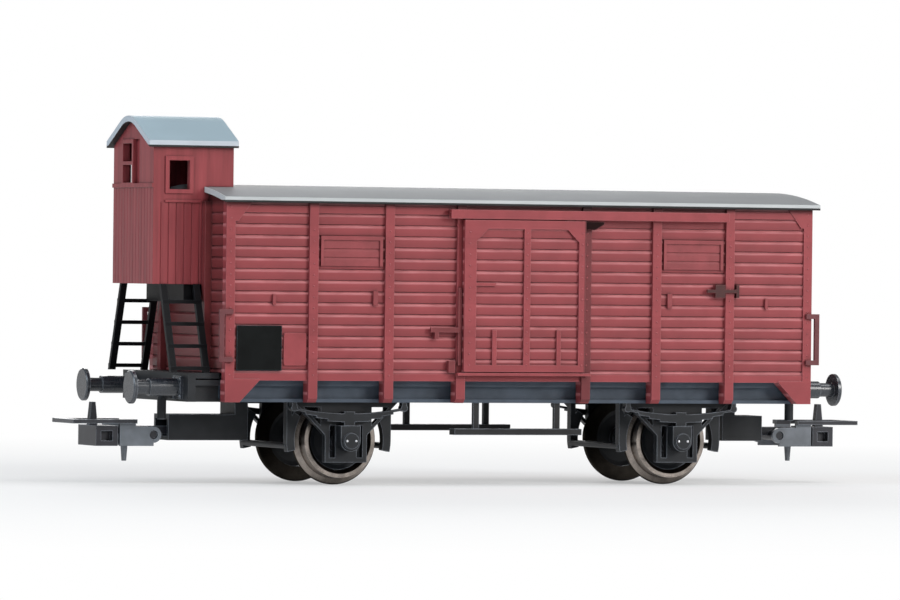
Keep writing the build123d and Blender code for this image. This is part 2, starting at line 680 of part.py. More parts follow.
def coupler():
    """Swinging shank with its eye, trunnion, hollowed head and tapered hook."""
    low, high = RAIL + SHANK_BOTTOM, RAIL + SHANK_TOP
    pivot = HEADSTOCK_X - PIVOT_BACK
    hole = PIVOT_RADIUS + PIN_FIT
    arm = TRUNNION_X + HEADSTOCK_X
    head_half = HEAD_WIDTH / 2
    bar_half = ARM_Y - ARM_THICK / 2 - ARM_GAP
    pin_half = ARM_Y + ARM_THICK / 2 - PIN_RECESS
    head_x = HEADSTOCK_X + (HEAD_BACK + HEAD_FRONT) / 2
    head_z = RAIL + (HEAD_BOTTOM + HEAD_TOP) / 2
    hook_x = HEADSTOCK_X + HOOK_X
    shank = block(pivot, HEADSTOCK_X + HEAD_FRONT, -SHANK_WIDTH / 2, SHANK_WIDTH / 2, low, high)
    bearing_z = RAIL + TRUNNION_HEIGHT
    hook = [(hook_x - HOOK_ROOT / 2, RAIL + HEAD_TOP), (hook_x + HOOK_ROOT / 2, RAIL + HEAD_TOP),
            (hook_x + HOOK_TIP / 2, RAIL + HOOK_TOP), (hook_x - HOOK_TIP / 2, RAIL + HOOK_TOP)]
    pockets = both_sides(block(head_x - POCKET_LENGTH / 2, head_x + POCKET_LENGTH / 2, -head_half - CUT,
                               -head_half + POCKET_DEPTH, head_z - POCKET_HEIGHT / 2,
                               head_z + POCKET_HEIGHT / 2))
    whole = shank.fuse(
        pivot_pin(hole + EYE_WALL, low, high),
        rod_y(arm, bearing_z, -bar_half, bar_half, TRUNNION_RADIUS),
        rod_y(arm, bearing_z, -pin_half, pin_half, TRUNNION_PIN),
        block(HEADSTOCK_X + HEAD_BACK, HEADSTOCK_X + HEAD_FRONT, -head_half, head_half,
              RAIL + HEAD_BOTTOM, RAIL + HEAD_TOP),
        along_y(hook, -HOOK_THICK / 2, HOOK_THICK / 2))
    return whole.cut(pivot_pin(hole, low - RUN, high + RUN), *pockets)


def bail():
    """The lifting loop: two eyed side arms, a flat loop above and a crossbar with its trip pin."""
    plate_low = RAIL + BAIL_BOTTOM
    plate_high = plate_low + BAIL_THICK
    back, tip = HEADSTOCK_X + BAIL_BACK, HEADSTOCK_X + BAIL_TIP
    ring_x, ring_z = HEADSTOCK_X + TRUNNION_X, RAIL + TRUNNION_HEIGHT
    half = BAIL_WIDTH / 2
    pieces = [block(tip - BAIL_STRIP, tip, -half, half, plate_low, plate_high)]
    bores = []
    for side in (-1, 1):
        arm = sorted((side * (ARM_Y - ARM_THICK / 2), side * (ARM_Y + ARM_THICK / 2)))
        strip = sorted((side * (half - BAIL_STRIP), side * half))
        pieces.append(block(back, tip, *strip, plate_low, plate_high))
        pieces.append(block(ring_x, HEADSTOCK_X + ARM_END, *arm, RAIL + ARM_BOTTOM,
                            ring_z + RING_RADIUS))
        pieces.append(block(back, HEADSTOCK_X + ARM_END, *arm, ring_z, plate_high))
        pieces.append(rod_y(ring_x, ring_z, *arm, RING_RADIUS))
        bores.append(rod_y(ring_x, ring_z, arm[0] - RUN, arm[1] + RUN, TRUNNION_PIN + PIN_FIT))
    pieces.append(block(back, back + BAR_WIDTH, -ARM_Y, ARM_Y, RAIL + ARM_BOTTOM, RAIL + BAR_TOP))
    trip = [(BAR_TOP, 0), (BAR_TOP, TRIP_ROOT), (TRIP_BOTTOM, TRIP_TIP), (TRIP_BOTTOM, 0)]
    pieces.append(Pos(HEADSTOCK_X + TRIP_X, 0, RAIL) * turned(trip, "z"))
    return pieces[0].fuse(*pieces[1:]).cut(*bores)


def pipe_stub():
    outer = HEADSTOCK_X + STUB_REACH
    return bent_rod([(HEADSTOCK_X, STUB_Y, RAIL + STUB_TOP), (outer, STUB_Y, RAIL + STUB_TOP),
                     (outer, STUB_Y, RAIL + STUB_BOTTOM)], STUB_BEND, STUB_RADIUS)


# Body
def side_wall():
    """The near side: boards, bands, posts, feet and corner gussets round the doorway."""
    low = RAIL + FLOOR_TOP
    foot_low = RAIL + SOLE_BOTTOM
    x0, x1 = BODY_X - HALF_LENGTH, BODY_X + HALF_LENGTH
    slab = along_x(boarded(-HALF_WIDTH, -INNER_HALF, low, WALL_TOP), x0, x1)
    opening = block(DOOR_LEFT + DOOR_LAP, DOOR_RIGHT - DOOR_LAP, -POST_FACE, 0,
                    DOOR_LOW + DOOR_LAP, DOOR_HIGH - DOOR_LAP)
    root = -HALF_WIDTH + GROOVE_DEPTH
    foot = [(-FRAME_HALF, foot_low), (-POST_FACE + FOOT_CHAMFER, foot_low),
            (-POST_FACE, foot_low + FOOT_CHAMFER), (-POST_FACE, low), (-HALF_WIDTH, low + FOOT_CHAMFER),
            (root, low + FOOT_CHAMFER), (root, low), (-FRAME_HALF, low)]
    pieces = [block(x0, x1, -HALF_WIDTH - BAND_PROUD, root, z, z + BAND_HEIGHT)
              for z in (low, WALL_TOP - BAND_DROP - BAND_HEIGHT)]
    for x in (DOOR_POST_X, INNER_POST_X, OUTER_POST_X):
        for middle in (BODY_X - x, BODY_X + x):
            left, right = middle - POST_WIDTH / 2, middle + POST_WIDTH / 2
            pieces.append(block(left, right, -POST_FACE, root, low, WALL_TOP))
            pieces.append(along_x(foot, left, right))
    gusset_face = -HALF_WIDTH - GUSSET_PROUD
    for end in (-1, 1):
        edge = BODY_X + end * HALF_LENGTH
        post = sorted((edge, edge - end * POST_WIDTH))
        pieces.append(block(*post, gusset_face, root, low, WALL_TOP))
        gusset = along_y([(edge, low + GUSSET_PROUD), (edge - end * GUSSET_LENGTH, low + GUSSET_PROUD),
                          (edge - end * GUSSET_LENGTH, low), (edge - end * GUSSET_TOE, foot_low),
                          (edge, foot_low)], gusset_face, -FRAME_HALF)
        pieces.append(gusset - block(x0, x1, -INNER_HALF, 0, low, WALL_TOP))
        pieces.append(along_y([(edge, WALL_TOP), (edge - end * TOP_GUSSET_LENGTH, WALL_TOP),
                               (edge - end * TOP_GUSSET_TOE, WALL_TOP - TOP_GUSSET_HEIGHT),
                               (edge, WALL_TOP - TOP_GUSSET_HEIGHT)], gusset_face, root))
    return slab.cut(opening).fuse(*pieces)


def on_wall(x0, x1, proud, bottom, height):
    """A plain fitting on the near wall's boards, x measured from the body's middle."""
    return block(BODY_X + x0, BODY_X + x1, -HALF_WIDTH - proud, -HALF_WIDTH, RAIL + bottom,
                 RAIL + bottom + height)


def vent_flap(end):
    """A boarded flap between its guides, under a drip strip."""
    inner = INNER_POST_X + POST_WIDTH / 2 + FLAP_MARGIN
    outer = OUTER_POST_X - POST_WIDTH / 2 - FLAP_MARGIN
    x0, x1 = sorted((end * inner, end * outer))
    low, high = RAIL + FLAP_BOTTOM, RAIL + FLAP_BOTTOM + FLAP_HEIGHT
    lines = [low + board * FLAP_HEIGHT / FLAP_BOARDS for board in range(1, FLAP_BOARDS)]
    panel = along_x(boarded(-HALF_WIDTH - FLAP_PROUD, -HALF_WIDTH, low, high, lines, FLAP_GROOVE),
                    BODY_X + x0, BODY_X + x1)
    return panel.fuse(
        on_wall(x0 - FLAP_GUIDE, x0, FLAP_GUIDE_PROUD, FLAP_BOTTOM, FLAP_HEIGHT),
        on_wall(x1, x1 + FLAP_GUIDE, FLAP_GUIDE_PROUD, FLAP_BOTTOM, FLAP_HEIGHT),
        on_wall(x0 - FLAP_GUIDE, x1 + FLAP_GUIDE, FLAP_GUIDE_PROUD, FLAP_BOTTOM + FLAP_HEIGHT, DRIP_HEIGHT))


def latch():
    """A bar across an outer post, between its plate and its keeper."""
    left, right = OUTER_POST_X - POST_WIDTH / 2, OUTER_POST_X + POST_WIDTH / 2
    proud = POST_PROUD + LATCH_PROUD
    plate = on_wall(left - LATCH_GAP - LATCH_PLATE, left - LATCH_GAP, proud, LATCH_BOTTOM, LATCH_HEIGHT)
    keeper = on_wall(right + LATCH_GAP, right + LATCH_GAP + LATCH_KEEPER, proud, LATCH_BOTTOM, LATCH_HEIGHT)
    bar_low = RAIL + LATCH_BOTTOM + (LATCH_HEIGHT - LATCH_BAR_HEIGHT) / 2
    bar = block(BODY_X + left - LATCH_INNER, BODY_X + right + LATCH_GAP, -HALF_WIDTH - proud, -POST_FACE,
                bar_low, bar_low + LATCH_BAR_HEIGHT)
    return plate.fuse(keeper, bar)


def vent_fittings():
    """The near wall's two flaps, their catches, the rope hooks and the latch."""
    pieces = [latch()]
    for end in (-1, 1):
        catch, eye = end * (INNER_POST_X + CATCH_OFFSET), end * (OUTER_POST_X + HOOK_EYE_OFFSET)
        pieces.append(vent_flap(end))
        pieces.append(on_wall(catch - CATCH_WIDTH / 2, catch + CATCH_WIDTH / 2, FLAP_GUIDE_PROUD,
                              CATCH_BOTTOM, CATCH_HEIGHT))
        pieces.append(on_wall(eye - HOOK_EYE_WIDTH / 2, eye + HOOK_EYE_WIDTH / 2, FLAP_GUIDE_PROUD,
                              CATCH_BOTTOM, HOOK_EYE_HEIGHT))
    return pieces


def door_lock():
    """The lock rod on the near door post with its lever, and the stop at the door's foot."""
    edge = DOOR_LEFT - BODY_X - RUN
    front = -POST_FACE - LOCK_PROUD
    rod_low, lever_low = RAIL + LOCK_ROD_BOTTOM, RAIL + LOCK_LEVER_BOTTOM
    rod = block(BODY_X + edge - LOCK_ROD_WIDTH, BODY_X + edge, front, -POST_FACE, rod_low,
                rod_low + LOCK_ROD_HEIGHT)
    lever_x = edge - LOCK_ROD_WIDTH - LOCK_LEVER_REACH
    lever = block(BODY_X + lever_x, BODY_X + edge, front, -POST_FACE, lever_low,
                  lever_low + LOCK_LEVER_HEIGHT)
    guide = on_wall(lever_x + LOCK_GUIDE_WIDTH, lever_x + 2 * LOCK_GUIDE_WIDTH, POST_PROUD + LOCK_PROUD,
                    LOCK_LEVER_BOTTOM + LOCK_LEVER_HEIGHT - LOCK_GUIDE_HEIGHT, LOCK_GUIDE_HEIGHT)
    stop_x = edge - GUIDE_RAIL_LEAD
    stop = on_wall(stop_x - STOP_WIDTH, stop_x, POST_PROUD + LOCK_PROUD, GUIDE_RAIL_TOP, STOP_HEIGHT)
    return [rod.fuse(lever, guide), stop]


def end_wall(end):
    """Boarded end with two posts, its top following the roof."""
    low = RAIL + HEADSTOCK_TOP + SEAT
    face = HALF_LENGTH
    back = HALF_LENGTH - WALL
    half = INNER_HALF - SEAT
    top = arc_height(ROOF_RADIUS, ROOF_CENTRE, 0)
    slab = along_y(boarded(face, back, low, top), -half, half)
    lid = under_arc(ROOF_RADIUS - ROOF_THICK - SEAT, ROOF_CENTRE, half, low, back, face + END_POST_PROUD)
    posts = [block(face - GROOVE_DEPTH, face + END_POST_PROUD, y - END_POST_WIDTH / 2,
                   y + END_POST_WIDTH / 2, low, WALL_TOP) for y in (-END_POST_Y, END_POST_Y)]
    wall = (slab & lid).fuse(*posts)
    return Pos(BODY_X, 0, 0) * at_end(wall, end)


def roof():
    """Arched roof, notched round the cab."""
    x0, x1 = BODY_X - HALF_LENGTH - ROOF_END, BODY_X + HALF_LENGTH + ROOF_END
    plate = arched_plate(ROOF_RADIUS, ROOF_CENTRE, ROOF_HALF, ROOF_THICK, x0, x1)
    notch = CAB_WIDTH / 2 + SEAT
    return plate - block(x0 - CUT, BODY_X - HALF_LENGTH, -notch, notch, RAIL, CAB_ROOF_TOP)


def door():
    """The near-side sliding door with its frame, braces, handle, guide bars and hangers."""
    root = -DOOR_FACE_Y + GROOVE_DEPTH
    rail_low = DOOR_HIGH - DOOR_TOP_RAIL
    panel = along_x(boarded(-DOOR_FACE_Y, -DOOR_BACK_Y, DOOR_LOW, DOOR_HIGH), DOOR_LEFT, DOOR_RIGHT)
    foot_top = DOOR_LOW + DOOR_FOOT_RAIL
    # Raised strips: left, right, bottom, top
    strips = [(DOOR_LEFT, DOOR_LEFT + LOCK_STILE, DOOR_LOW, DOOR_HIGH),
              (DOOR_RIGHT - PLAIN_STILE, DOOR_RIGHT, DOOR_LOW, DOOR_HIGH),
              (BODY_X - DOOR_CENTRE / 2, BODY_X + DOOR_CENTRE / 2, DOOR_LOW, DOOR_HIGH),
              (DOOR_LEFT, DOOR_RIGHT, DOOR_LOW, foot_top),
              (DOOR_LEFT, DOOR_RIGHT, rail_low, DOOR_HIGH),
              (DOOR_LEFT, DOOR_LEFT + HANDLE_REACH, RAIL + HANDLE_Z, RAIL + HANDLE_Z + HANDLE_HEIGHT)]
    for x in (-GUIDE_BAR_X, GUIDE_BAR_X):
        left = BODY_X + x - GUIDE_BAR_WIDTH / 2
        strips.append((left, left + GUIDE_BAR_WIDTH, foot_top, foot_top + GUIDE_BAR_HEIGHT))
    pieces = [block(left, right, -DOOR_FRONT_Y, root, low, high) for left, right, low, high in strips]
    for corner, inwards in ((DOOR_LEFT + LOCK_STILE, DOOR_BRACE), (DOOR_RIGHT - PLAIN_STILE, -DOOR_BRACE)):
        pieces.append(along_y([(corner, rail_low), (corner + inwards, rail_low),
                               (corner, rail_low - DOOR_BRACE)], -DOOR_FRONT_Y, root))
    hanger_y = (DOOR_BACK_Y + DOOR_FACE_Y) / 2
    for tab in (DOOR_LEFT + HANGER_INSET, DOOR_RIGHT - HANGER_INSET):
        pieces.append(block(tab - HANGER_WIDTH / 2, tab + HANGER_WIDTH / 2, -hanger_y - HANGER_THICK / 2,
                            -hanger_y + HANGER_THICK / 2, rail_low, TRACK_LOW + TRACK_SLOT_DEPTH - RUN))
    return panel.fuse(*pieces)


def door_roller():
    """The bracket that leads the near door along its track."""
    tip = DOOR_RIGHT + ROLLER_REACH
    return along_y([(DOOR_RIGHT, DOOR_HIGH), (tip, DOOR_HIGH), (tip, DOOR_HIGH - ROLLER_TIP),
                    (tip - ROLLER_REACH / 2, DOOR_HIGH - ROLLER_HEIGHT),
                    (DOOR_RIGHT, DOOR_HIGH - ROLLER_HEIGHT)], -DOOR_FACE_Y, -DOOR_BACK_Y)


def door_track():
    """The near-side rail over the door, slotted underneath for the door's hangers."""
    middle = (DOOR_BACK_Y + DOOR_FACE_Y) / 2
    slot = HANGER_THICK / 2 + RUN / 2
    x0 = DOOR_LEFT - TRACK_LEAD
    x1 = DOOR_RIGHT + ROLLER_REACH + DOOR_TRAVEL + TRACK_STOP
    bar = block(x0, x1, -middle - slot - TRACK_LIP, -POST_FACE, TRACK_LOW, TRACK_TOP)
    return bar - block(x0 - CUT, x1 + CUT, -middle - slot, -middle + slot, TRACK_LOW - CUT,
                       TRACK_LOW + TRACK_SLOT_DEPTH)


def guide_rail():
    """The near-side rail under the closed door, on the door posts' faces."""
    high = RAIL + GUIDE_RAIL_TOP
    return block(DOOR_LEFT - GUIDE_RAIL_LEAD, DOOR_RIGHT + GUIDE_RAIL_LEAD, -DOOR_FRONT_Y, -POST_FACE,
                 high - GUIDE_RAIL_HEIGHT, high)


def board_panel():
    x = BODY_X - HALF_LENGTH + PANEL_INSET
    return block(x, x + PANEL_LENGTH, -HALF_WIDTH - PANEL_THICK, -HALF_WIDTH, RAIL + PANEL_BOTTOM,
                 RAIL + PANEL_BOTTOM + PANEL_HEIGHT)


def handrail(end):
    """A flat grab bar on the near corner post, bent square round the wall's end."""
    back = -HALF_WIDTH - GUSSET_PROUD
    front = back - RAIL_THICK
    lap, outer = HALF_LENGTH - RAIL_LAP, HALF_LENGTH + RAIL_REACH
    low, high = RAIL + RAIL_LOW, RAIL + RAIL_HIGH
    bar = block(lap, outer, front, back, low, high)
    space = block(lap - CUT, outer - RAIL_BAR, front - CUT, back + CUT, low + RAIL_BAR, high - RAIL_BAR)
    return Pos(BODY_X, 0, 0) * at_end(bar - space, end)


# Brakeman's cab
def cab_shell():
    """Hollow cab on the end wall, its upper part reaching over the roof."""
    rear = BODY_X - HALF_LENGTH - SEAT
    face = BODY_X - HALF_LENGTH - CAB_REACH
    over = BODY_X - HALF_LENGTH + CAB_OVERLAP
    low = RAIL + CAB_BOTTOM
    half = CAB_WIDTH / 2
    step = RAIL + ROOF_APEX - ROOF_RISE
    top = CAB_ROOF_TOP
    outer = along_y([(face, low), (rear, low), (rear, step), (over, step), (over, top), (face, top)],
                    -half, half)
    outer = outer & under_ridge(CAB_ROOF_THICK + SEAT, half, low, face, over)
    outer = outer - under_arc(ROOF_RADIUS + SEAT, ROOF_CENTRE, half + CUT, low, rear, over + CUT)
    inner = half - CAB_WALL
    floor = low + CAB_WALL
    hollow = along_y([(face + CAB_WALL, floor), (rear + CUT, floor), (rear + CUT, step),
                      (over - CAB_WALL, step), (over - CAB_WALL, top + CUT), (face + CAB_WALL, top + CUT)],
                     -inner, inner)
    window_low = CAB_ROOF_TOP - SIDE_WINDOW_DROP
    window_x = face + SIDE_WINDOW_EDGE
    side_window = block(window_x, window_x + SIDE_WINDOW_WIDTH, -half - CUT, half + CUT, window_low,
                        window_low + SIDE_WINDOW_HEIGHT)
    ledge = CAB_ROOF_TOP - LEDGE_DROP
    frames, grooves = [], []
    for side in (-1, 1):
        across = sorted((side * (half - CAB_WALL / 2), side * (half + FRAME_PROUD)))
        frames.append(block(window_x - FRAME_BORDER, window_x + SIDE_WINDOW_WIDTH + FRAME_BORDER, *across,
                            window_low - FRAME_BORDER, window_low + SIDE_WINDOW_HEIGHT + FRAME_BORDER))
        frames.append(block(face + LEDGE_EDGE, face + LEDGE_EDGE + LEDGE_LENGTH, *across, ledge,
                            ledge + LEDGE_HEIGHT))
        for plank in range(1, SIDE_PLANKS + 1):
            x = face + plank * SIDE_SEAM / SIDE_PLANKS
            grooves.append(upright([(x - PLANK_GROOVE, side * half), (x, side * (half - PLANK_GROOVE)),
                                    (x + PLANK_GROOVE, side * half)], low - CUT, ledge))
    end_low = CAB_ROOF_TOP - END_WINDOW_DROP
    y0, y1 = END_WINDOW_Y - END_WINDOW_WIDTH / 2, END_WINDOW_Y + END_WINDOW_WIDTH / 2
    frames.append(block(face - FRAME_PROUD, face + CAB_WALL / 2, y0 - FRAME_BORDER, y1 + FRAME_BORDER,
                        end_low - FRAME_BORDER, end_low + END_WINDOW_HEIGHT + FRAME_BORDER))
    moulding_top = end_low - MOULDING_GAP
    frames.append(block(face - FRAME_PROUD, face + CAB_WALL / 2, -half, half,
                        moulding_top - MOULDING_HEIGHT, moulding_top))
    for plank in range(1, END_PLANKS):
        y = -half + plank * CAB_WIDTH / END_PLANKS
        grooves.append(upright([(face, y - PLANK_GROOVE), (face + PLANK_GROOVE, y), (face, y + PLANK_GROOVE)],
                               low - CUT, moulding_top))
    pane = (END_WINDOW_HEIGHT - CROSSBAR) / 2
    panes = [block(face - CUT, face + CAB_WALL + CUT, y0, y1, z, z + pane)
             for z in (end_low, end_low + pane + CROSSBAR)]
    slot = block(face - CUT, face + SLOT_DEPTH, SLOT_Y - SLOT_WIDTH / 2, SLOT_Y + SLOT_WIDTH / 2,
                 moulding_top, end_low + END_WINDOW_HEIGHT + FRAME_BORDER)
    return outer.cut(hollow, *grooves).fuse(*frames).cut(side_window, slot, *panes)


def cab_roof():
    """A plate with a rounded ridge, straight slopes and upright edges."""
    low = RAIL + ROOF_APEX
    x0 = BODY_X - HALF_LENGTH - CAB_REACH - CAB_ROOF_LIP
    x1 = BODY_X - HALF_LENGTH + CAB_OVERLAP + CAB_ROOF_REAR
    hollow = under_ridge(CAB_ROOF_THICK, CAB_ROOF_HALF + CUT, low - CUT, x0 - CUT, x1 + CUT)
    return under_ridge(0, CAB_ROOF_HALF, low, x0, x1) - hollow


def cab_bearer():
    """The beam under the cab's floor, between the ladders' heads."""
    back = BODY_X - HALF_LENGTH - SEAT
    half = LADDER_TOP_Y - RUN
    high = RAIL + CAB_BOTTOM
    return block(back - BEARER_REACH, back, -half, half, high - BEARER_HEIGHT, high)


def ladder():
    """The near-side ladder from the deck up to the cab's floor, leaning inwards."""
    low, high = RAIL + HEADSTOCK_TOP, RAIL + CAB_BOTTOM
    stile = [(-LADDER_TOP_Y, high), (-LADDER_TOP_Y - LADDER_STILE, high),
             (-LADDER_FOOT_Y - LADDER_STILE, low), (-LADDER_FOOT_Y, low)]
    x0, x1 = BODY_X - LADDER_X - LADDER_WIDTH / 2, BODY_X - LADDER_X + LADDER_WIDTH / 2
    pieces = [along_x(stile, x0, x0 + STILE_WIDTH), along_x(stile, x1 - STILE_WIDTH, x1)]
    for rung in range(LADDER_RUNGS):
        share = rung / LADDER_RUNGS + RUNG_LIFT / (high - low)
        z = low + share * (high - low)
        y = -LADDER_FOOT_Y + share * (LADDER_FOOT_Y - LADDER_TOP_Y)
        pieces.append(block(x0, x1, y - LADDER_STILE, y, z, z + RUNG_HEIGHT))
    return pieces[0].fuse(*pieces[1:])


save("underframe", underframe())
save("ballast_plate", ballast_plate())
for end, x in AXLES.items():
    save(f"axle_guards_{end}", *both_sides(axle_guard(x)))
    save(f"axle_boxes_{end}", *both_sides(axle_box(x)))
    save(f"leaf_springs_{end}", *both_sides(leaf_spring(x)))
    save(f"brake_shoes_{end}", brake_unit(x, -1), brake_unit(x, 1))
    wheels = Pos(x, 0, AXLE_Z)
    save(f"wheel_tyres_{end}", *both_sides(wheels * wheel_tyre(BACK_TO_BACK / 2, TYRE_WIDTH)))
    save(f"wheel_centres_{end}", *both_sides(wheels * wheel_centre(BACK_TO_BACK / 2, TYRE_WIDTH)))
    save(f"axle_{end}", wheels * axle())
for end, side in ENDS.items():
    inner = HEADSTOCK_X - PIVOT_BACK - DRAFT_TAILS[end]
    save(f"buffers_{end}", *[at_end(buffer(y), side) for y in (-BUFFER_SPACING / 2, BUFFER_SPACING / 2)])
    save(f"draft_box_{end}", at_end(draft_box(inner), side))
    save(f"coupler_{end}", at_end(coupler(), side))
    save(f"bail_{end}", at_end(bail(), side))
    save(f"pipe_stub_{end}", at_end(pipe_stub(), side))
    save(f"end_wall_{end}", end_wall(side))
    save(f"handrails_{end}", *both_sides(handrail(side)))
for piece, solids in (("side_wall", [side_wall()]), ("door", [door()]), ("door_roller", [door_roller()]),
                      ("door_track", [door_track()]), ("guide_rail", [guide_rail()]),
                      ("door_lock", door_lock()), ("vent_fittings", vent_fittings())):
    save(f"{piece}_near", *solids)
    save(f"{piece}_far", *[turned_round(solid) for solid in solids])
save("board_panel", board_panel())
for piece, shape in (("footboard", footboard()), ("ladder", ladder())):
    for place, solid in zip(("near", "far"), both_sides(shape)):
        save(f"{piece}_{place}", solid)
save("roof", roof())
save("cab_shell", cab_shell())
save("cab_roof", cab_roof())
save("cab_bearer", cab_bearer())
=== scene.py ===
import json
import math

import bpy
import numpy as np
from mathutils import Matrix, Vector


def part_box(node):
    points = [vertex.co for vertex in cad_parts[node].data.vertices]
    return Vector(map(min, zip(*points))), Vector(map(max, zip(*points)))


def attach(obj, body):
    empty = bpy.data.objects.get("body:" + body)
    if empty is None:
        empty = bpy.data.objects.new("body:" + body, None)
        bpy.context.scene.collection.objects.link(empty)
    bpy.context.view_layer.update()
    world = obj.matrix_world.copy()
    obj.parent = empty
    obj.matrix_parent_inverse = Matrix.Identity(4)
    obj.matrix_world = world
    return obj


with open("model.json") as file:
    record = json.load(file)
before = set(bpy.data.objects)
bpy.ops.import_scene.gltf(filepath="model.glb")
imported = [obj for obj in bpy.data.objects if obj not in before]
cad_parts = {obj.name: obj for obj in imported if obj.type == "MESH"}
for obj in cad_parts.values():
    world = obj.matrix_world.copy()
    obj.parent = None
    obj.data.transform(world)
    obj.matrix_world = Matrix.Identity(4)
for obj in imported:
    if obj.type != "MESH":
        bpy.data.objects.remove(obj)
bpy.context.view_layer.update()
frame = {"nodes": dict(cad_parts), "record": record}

# A model railway covered wagon with a brakeman's cab: its finishes, rivets, bolts, one bare plate and light.
# Lengths are in millimetres of the model, and MM turns them into metres.
MM = 0.001


def box_mm(node):
    """A node's lowest and highest corners in millimetres."""
    return [np.array(corner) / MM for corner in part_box(node)]


# Camera: where it stands, how it is turned in degrees, its lens and sensor, and its clipping in metres
CAMERA_AT = (-396.93, -964.95, 31.70)
CAMERA_YAW = 22.251
CAMERA_PITCH = -0.283
CAMERA_ROLL = 0.643
CAMERA_LENS = 287.0
SENSOR = 36.0
CAMERA_CLIP = (0.01, 20.0)

# Colours of the red-brown body and its fittings, linear red, green and blue like all that follow
RED_BROWN = (0.308, 0.055, 0.062)
# EDGE_PINK is the pale of edges from wear, and it paints a highlight on them too
EDGE_PINK = (0.560, 0.200, 0.210)
FLAP_BROWN = (0.285, 0.058, 0.064)
RAIL_BROWN = (0.150, 0.045, 0.050)
# SHADED_BROWN is painted shade: the end wall under the cab is darker, as in the cab's shadow
SHADED_BROWN = (0.190, 0.036, 0.038)
LEVER_BROWN = (0.190, 0.036, 0.040)
LATCH_BROWN = (0.060, 0.018, 0.017)
# ROLLER_BROWN is a dark brown bracket, painted near black as shade of the hole and shadow at the door's
# roller
ROLLER_BROWN = (0.016, 0.005, 0.005)

# Colours of the two roofs
ROOF_GREY = (0.245, 0.252, 0.258)
ROOF_EDGE = (0.540, 0.565, 0.570)
# ROOF_UNDER_SHADE is painted shade on the roofs' undersides and a painted shadow along their foot
ROOF_UNDER_SHADE = (0.018, 0.017, 0.018)
CAB_ROOF_BLUE = (0.335, 0.436, 0.494)
CAB_ROOF_EDGE = (0.560, 0.610, 0.665)

# Colours of the moulded plastic, and of its edges, paled by wear and a painted highlight
SOLE_BLUE = (0.062, 0.082, 0.110)
PLATFORM_BLACK = (0.018, 0.020, 0.023)
FRAME_BLACK = (0.014, 0.016, 0.019)
BUFFER_BLACK = (0.024, 0.029, 0.038)
FOOTBOARD_BLACK = (0.016, 0.016, 0.017)
LADDER_BLACK = (0.007, 0.007, 0.008)
COUPLER_BLACK = (0.030, 0.031, 0.038)
BAIL_GREY = (0.175, 0.193, 0.217)
PANEL_BLACK = (0.008, 0.009, 0.009)
WORN_AND_HIGHLIT_PLASTIC = (0.265, 0.290, 0.330)

# Colours of the metal
TYRE_METAL = (0.330, 0.290, 0.260)
TYRE_STAIN = (0.085, 0.066, 0.055)
FLANGE_DARK = (0.030, 0.026, 0.022)
STEEL = (0.300, 0.300, 0.300)
BOLT_STEEL = (0.620, 0.630, 0.650)

# The boarded body: what the frame gives, and faces as distances from the wagon's middle
wall_low, wall_high = box_mm("side_wall_near")
door_low, door_high = box_mm("door_near")
BODY_X = (wall_low[0] + wall_high[0]) / 2
BODY_HALF = (wall_high[0] - wall_low[0]) / 2
HEADSTOCK_X = box_mm("underframe")[1][0]
POST_FACE = -wall_low[1]
DOOR_FRONT = -door_low[1]
CORNER_FACE = 15.75
BOARD_FACE = 15.5
DOOR_FACE = 16.7

# The boards: how many, the foot of the lowest, and the heights of one, of its sloped upper edge and of its
# undercut lower lip
BOARDS = 16
BOARD_FOOT = 15.0
BOARD_PITCH = (wall_high[2] - BOARD_FOOT) / BOARDS
BOARD_SLOPE = 0.32
BOARD_LIP = 0.07

# Noise in all finishes: its octaves in clouds, blotches and fibres, how rough it is, the part of its range
# that colours run over, and the strength of bumps made from it
CLOUD_DETAIL = 2.0
BLOTCH_DETAIL = 3.0
FIBRE_DETAIL = 4.0
NOISE_ROUGHNESS = 0.55
NOISE_MIDDLE = (0.35, 0.65)
BUMP_STRENGTH = 0.5

# Pale edges, from wear and a painted highlight: how far they reach, and the cosines of the lean at which they
# are full and none
EDGE_REACH = 0.22
EDGE_LEAN = (0.76, 0.97)
EDGE_SAMPLES = 4

# Painted shade in corners: how far it reaches, its darkest level, and the openness at which it is full and
# none
SHADE_REACH = 0.7
SHADE_DARK = 0.38
SHADE_OPEN = (0.25, 0.85)
SHADE_SAMPLES = 6


def tint(colour, factor):
    """A colour made darker or paler by a factor."""
    return tuple(channel * factor for channel in colour)


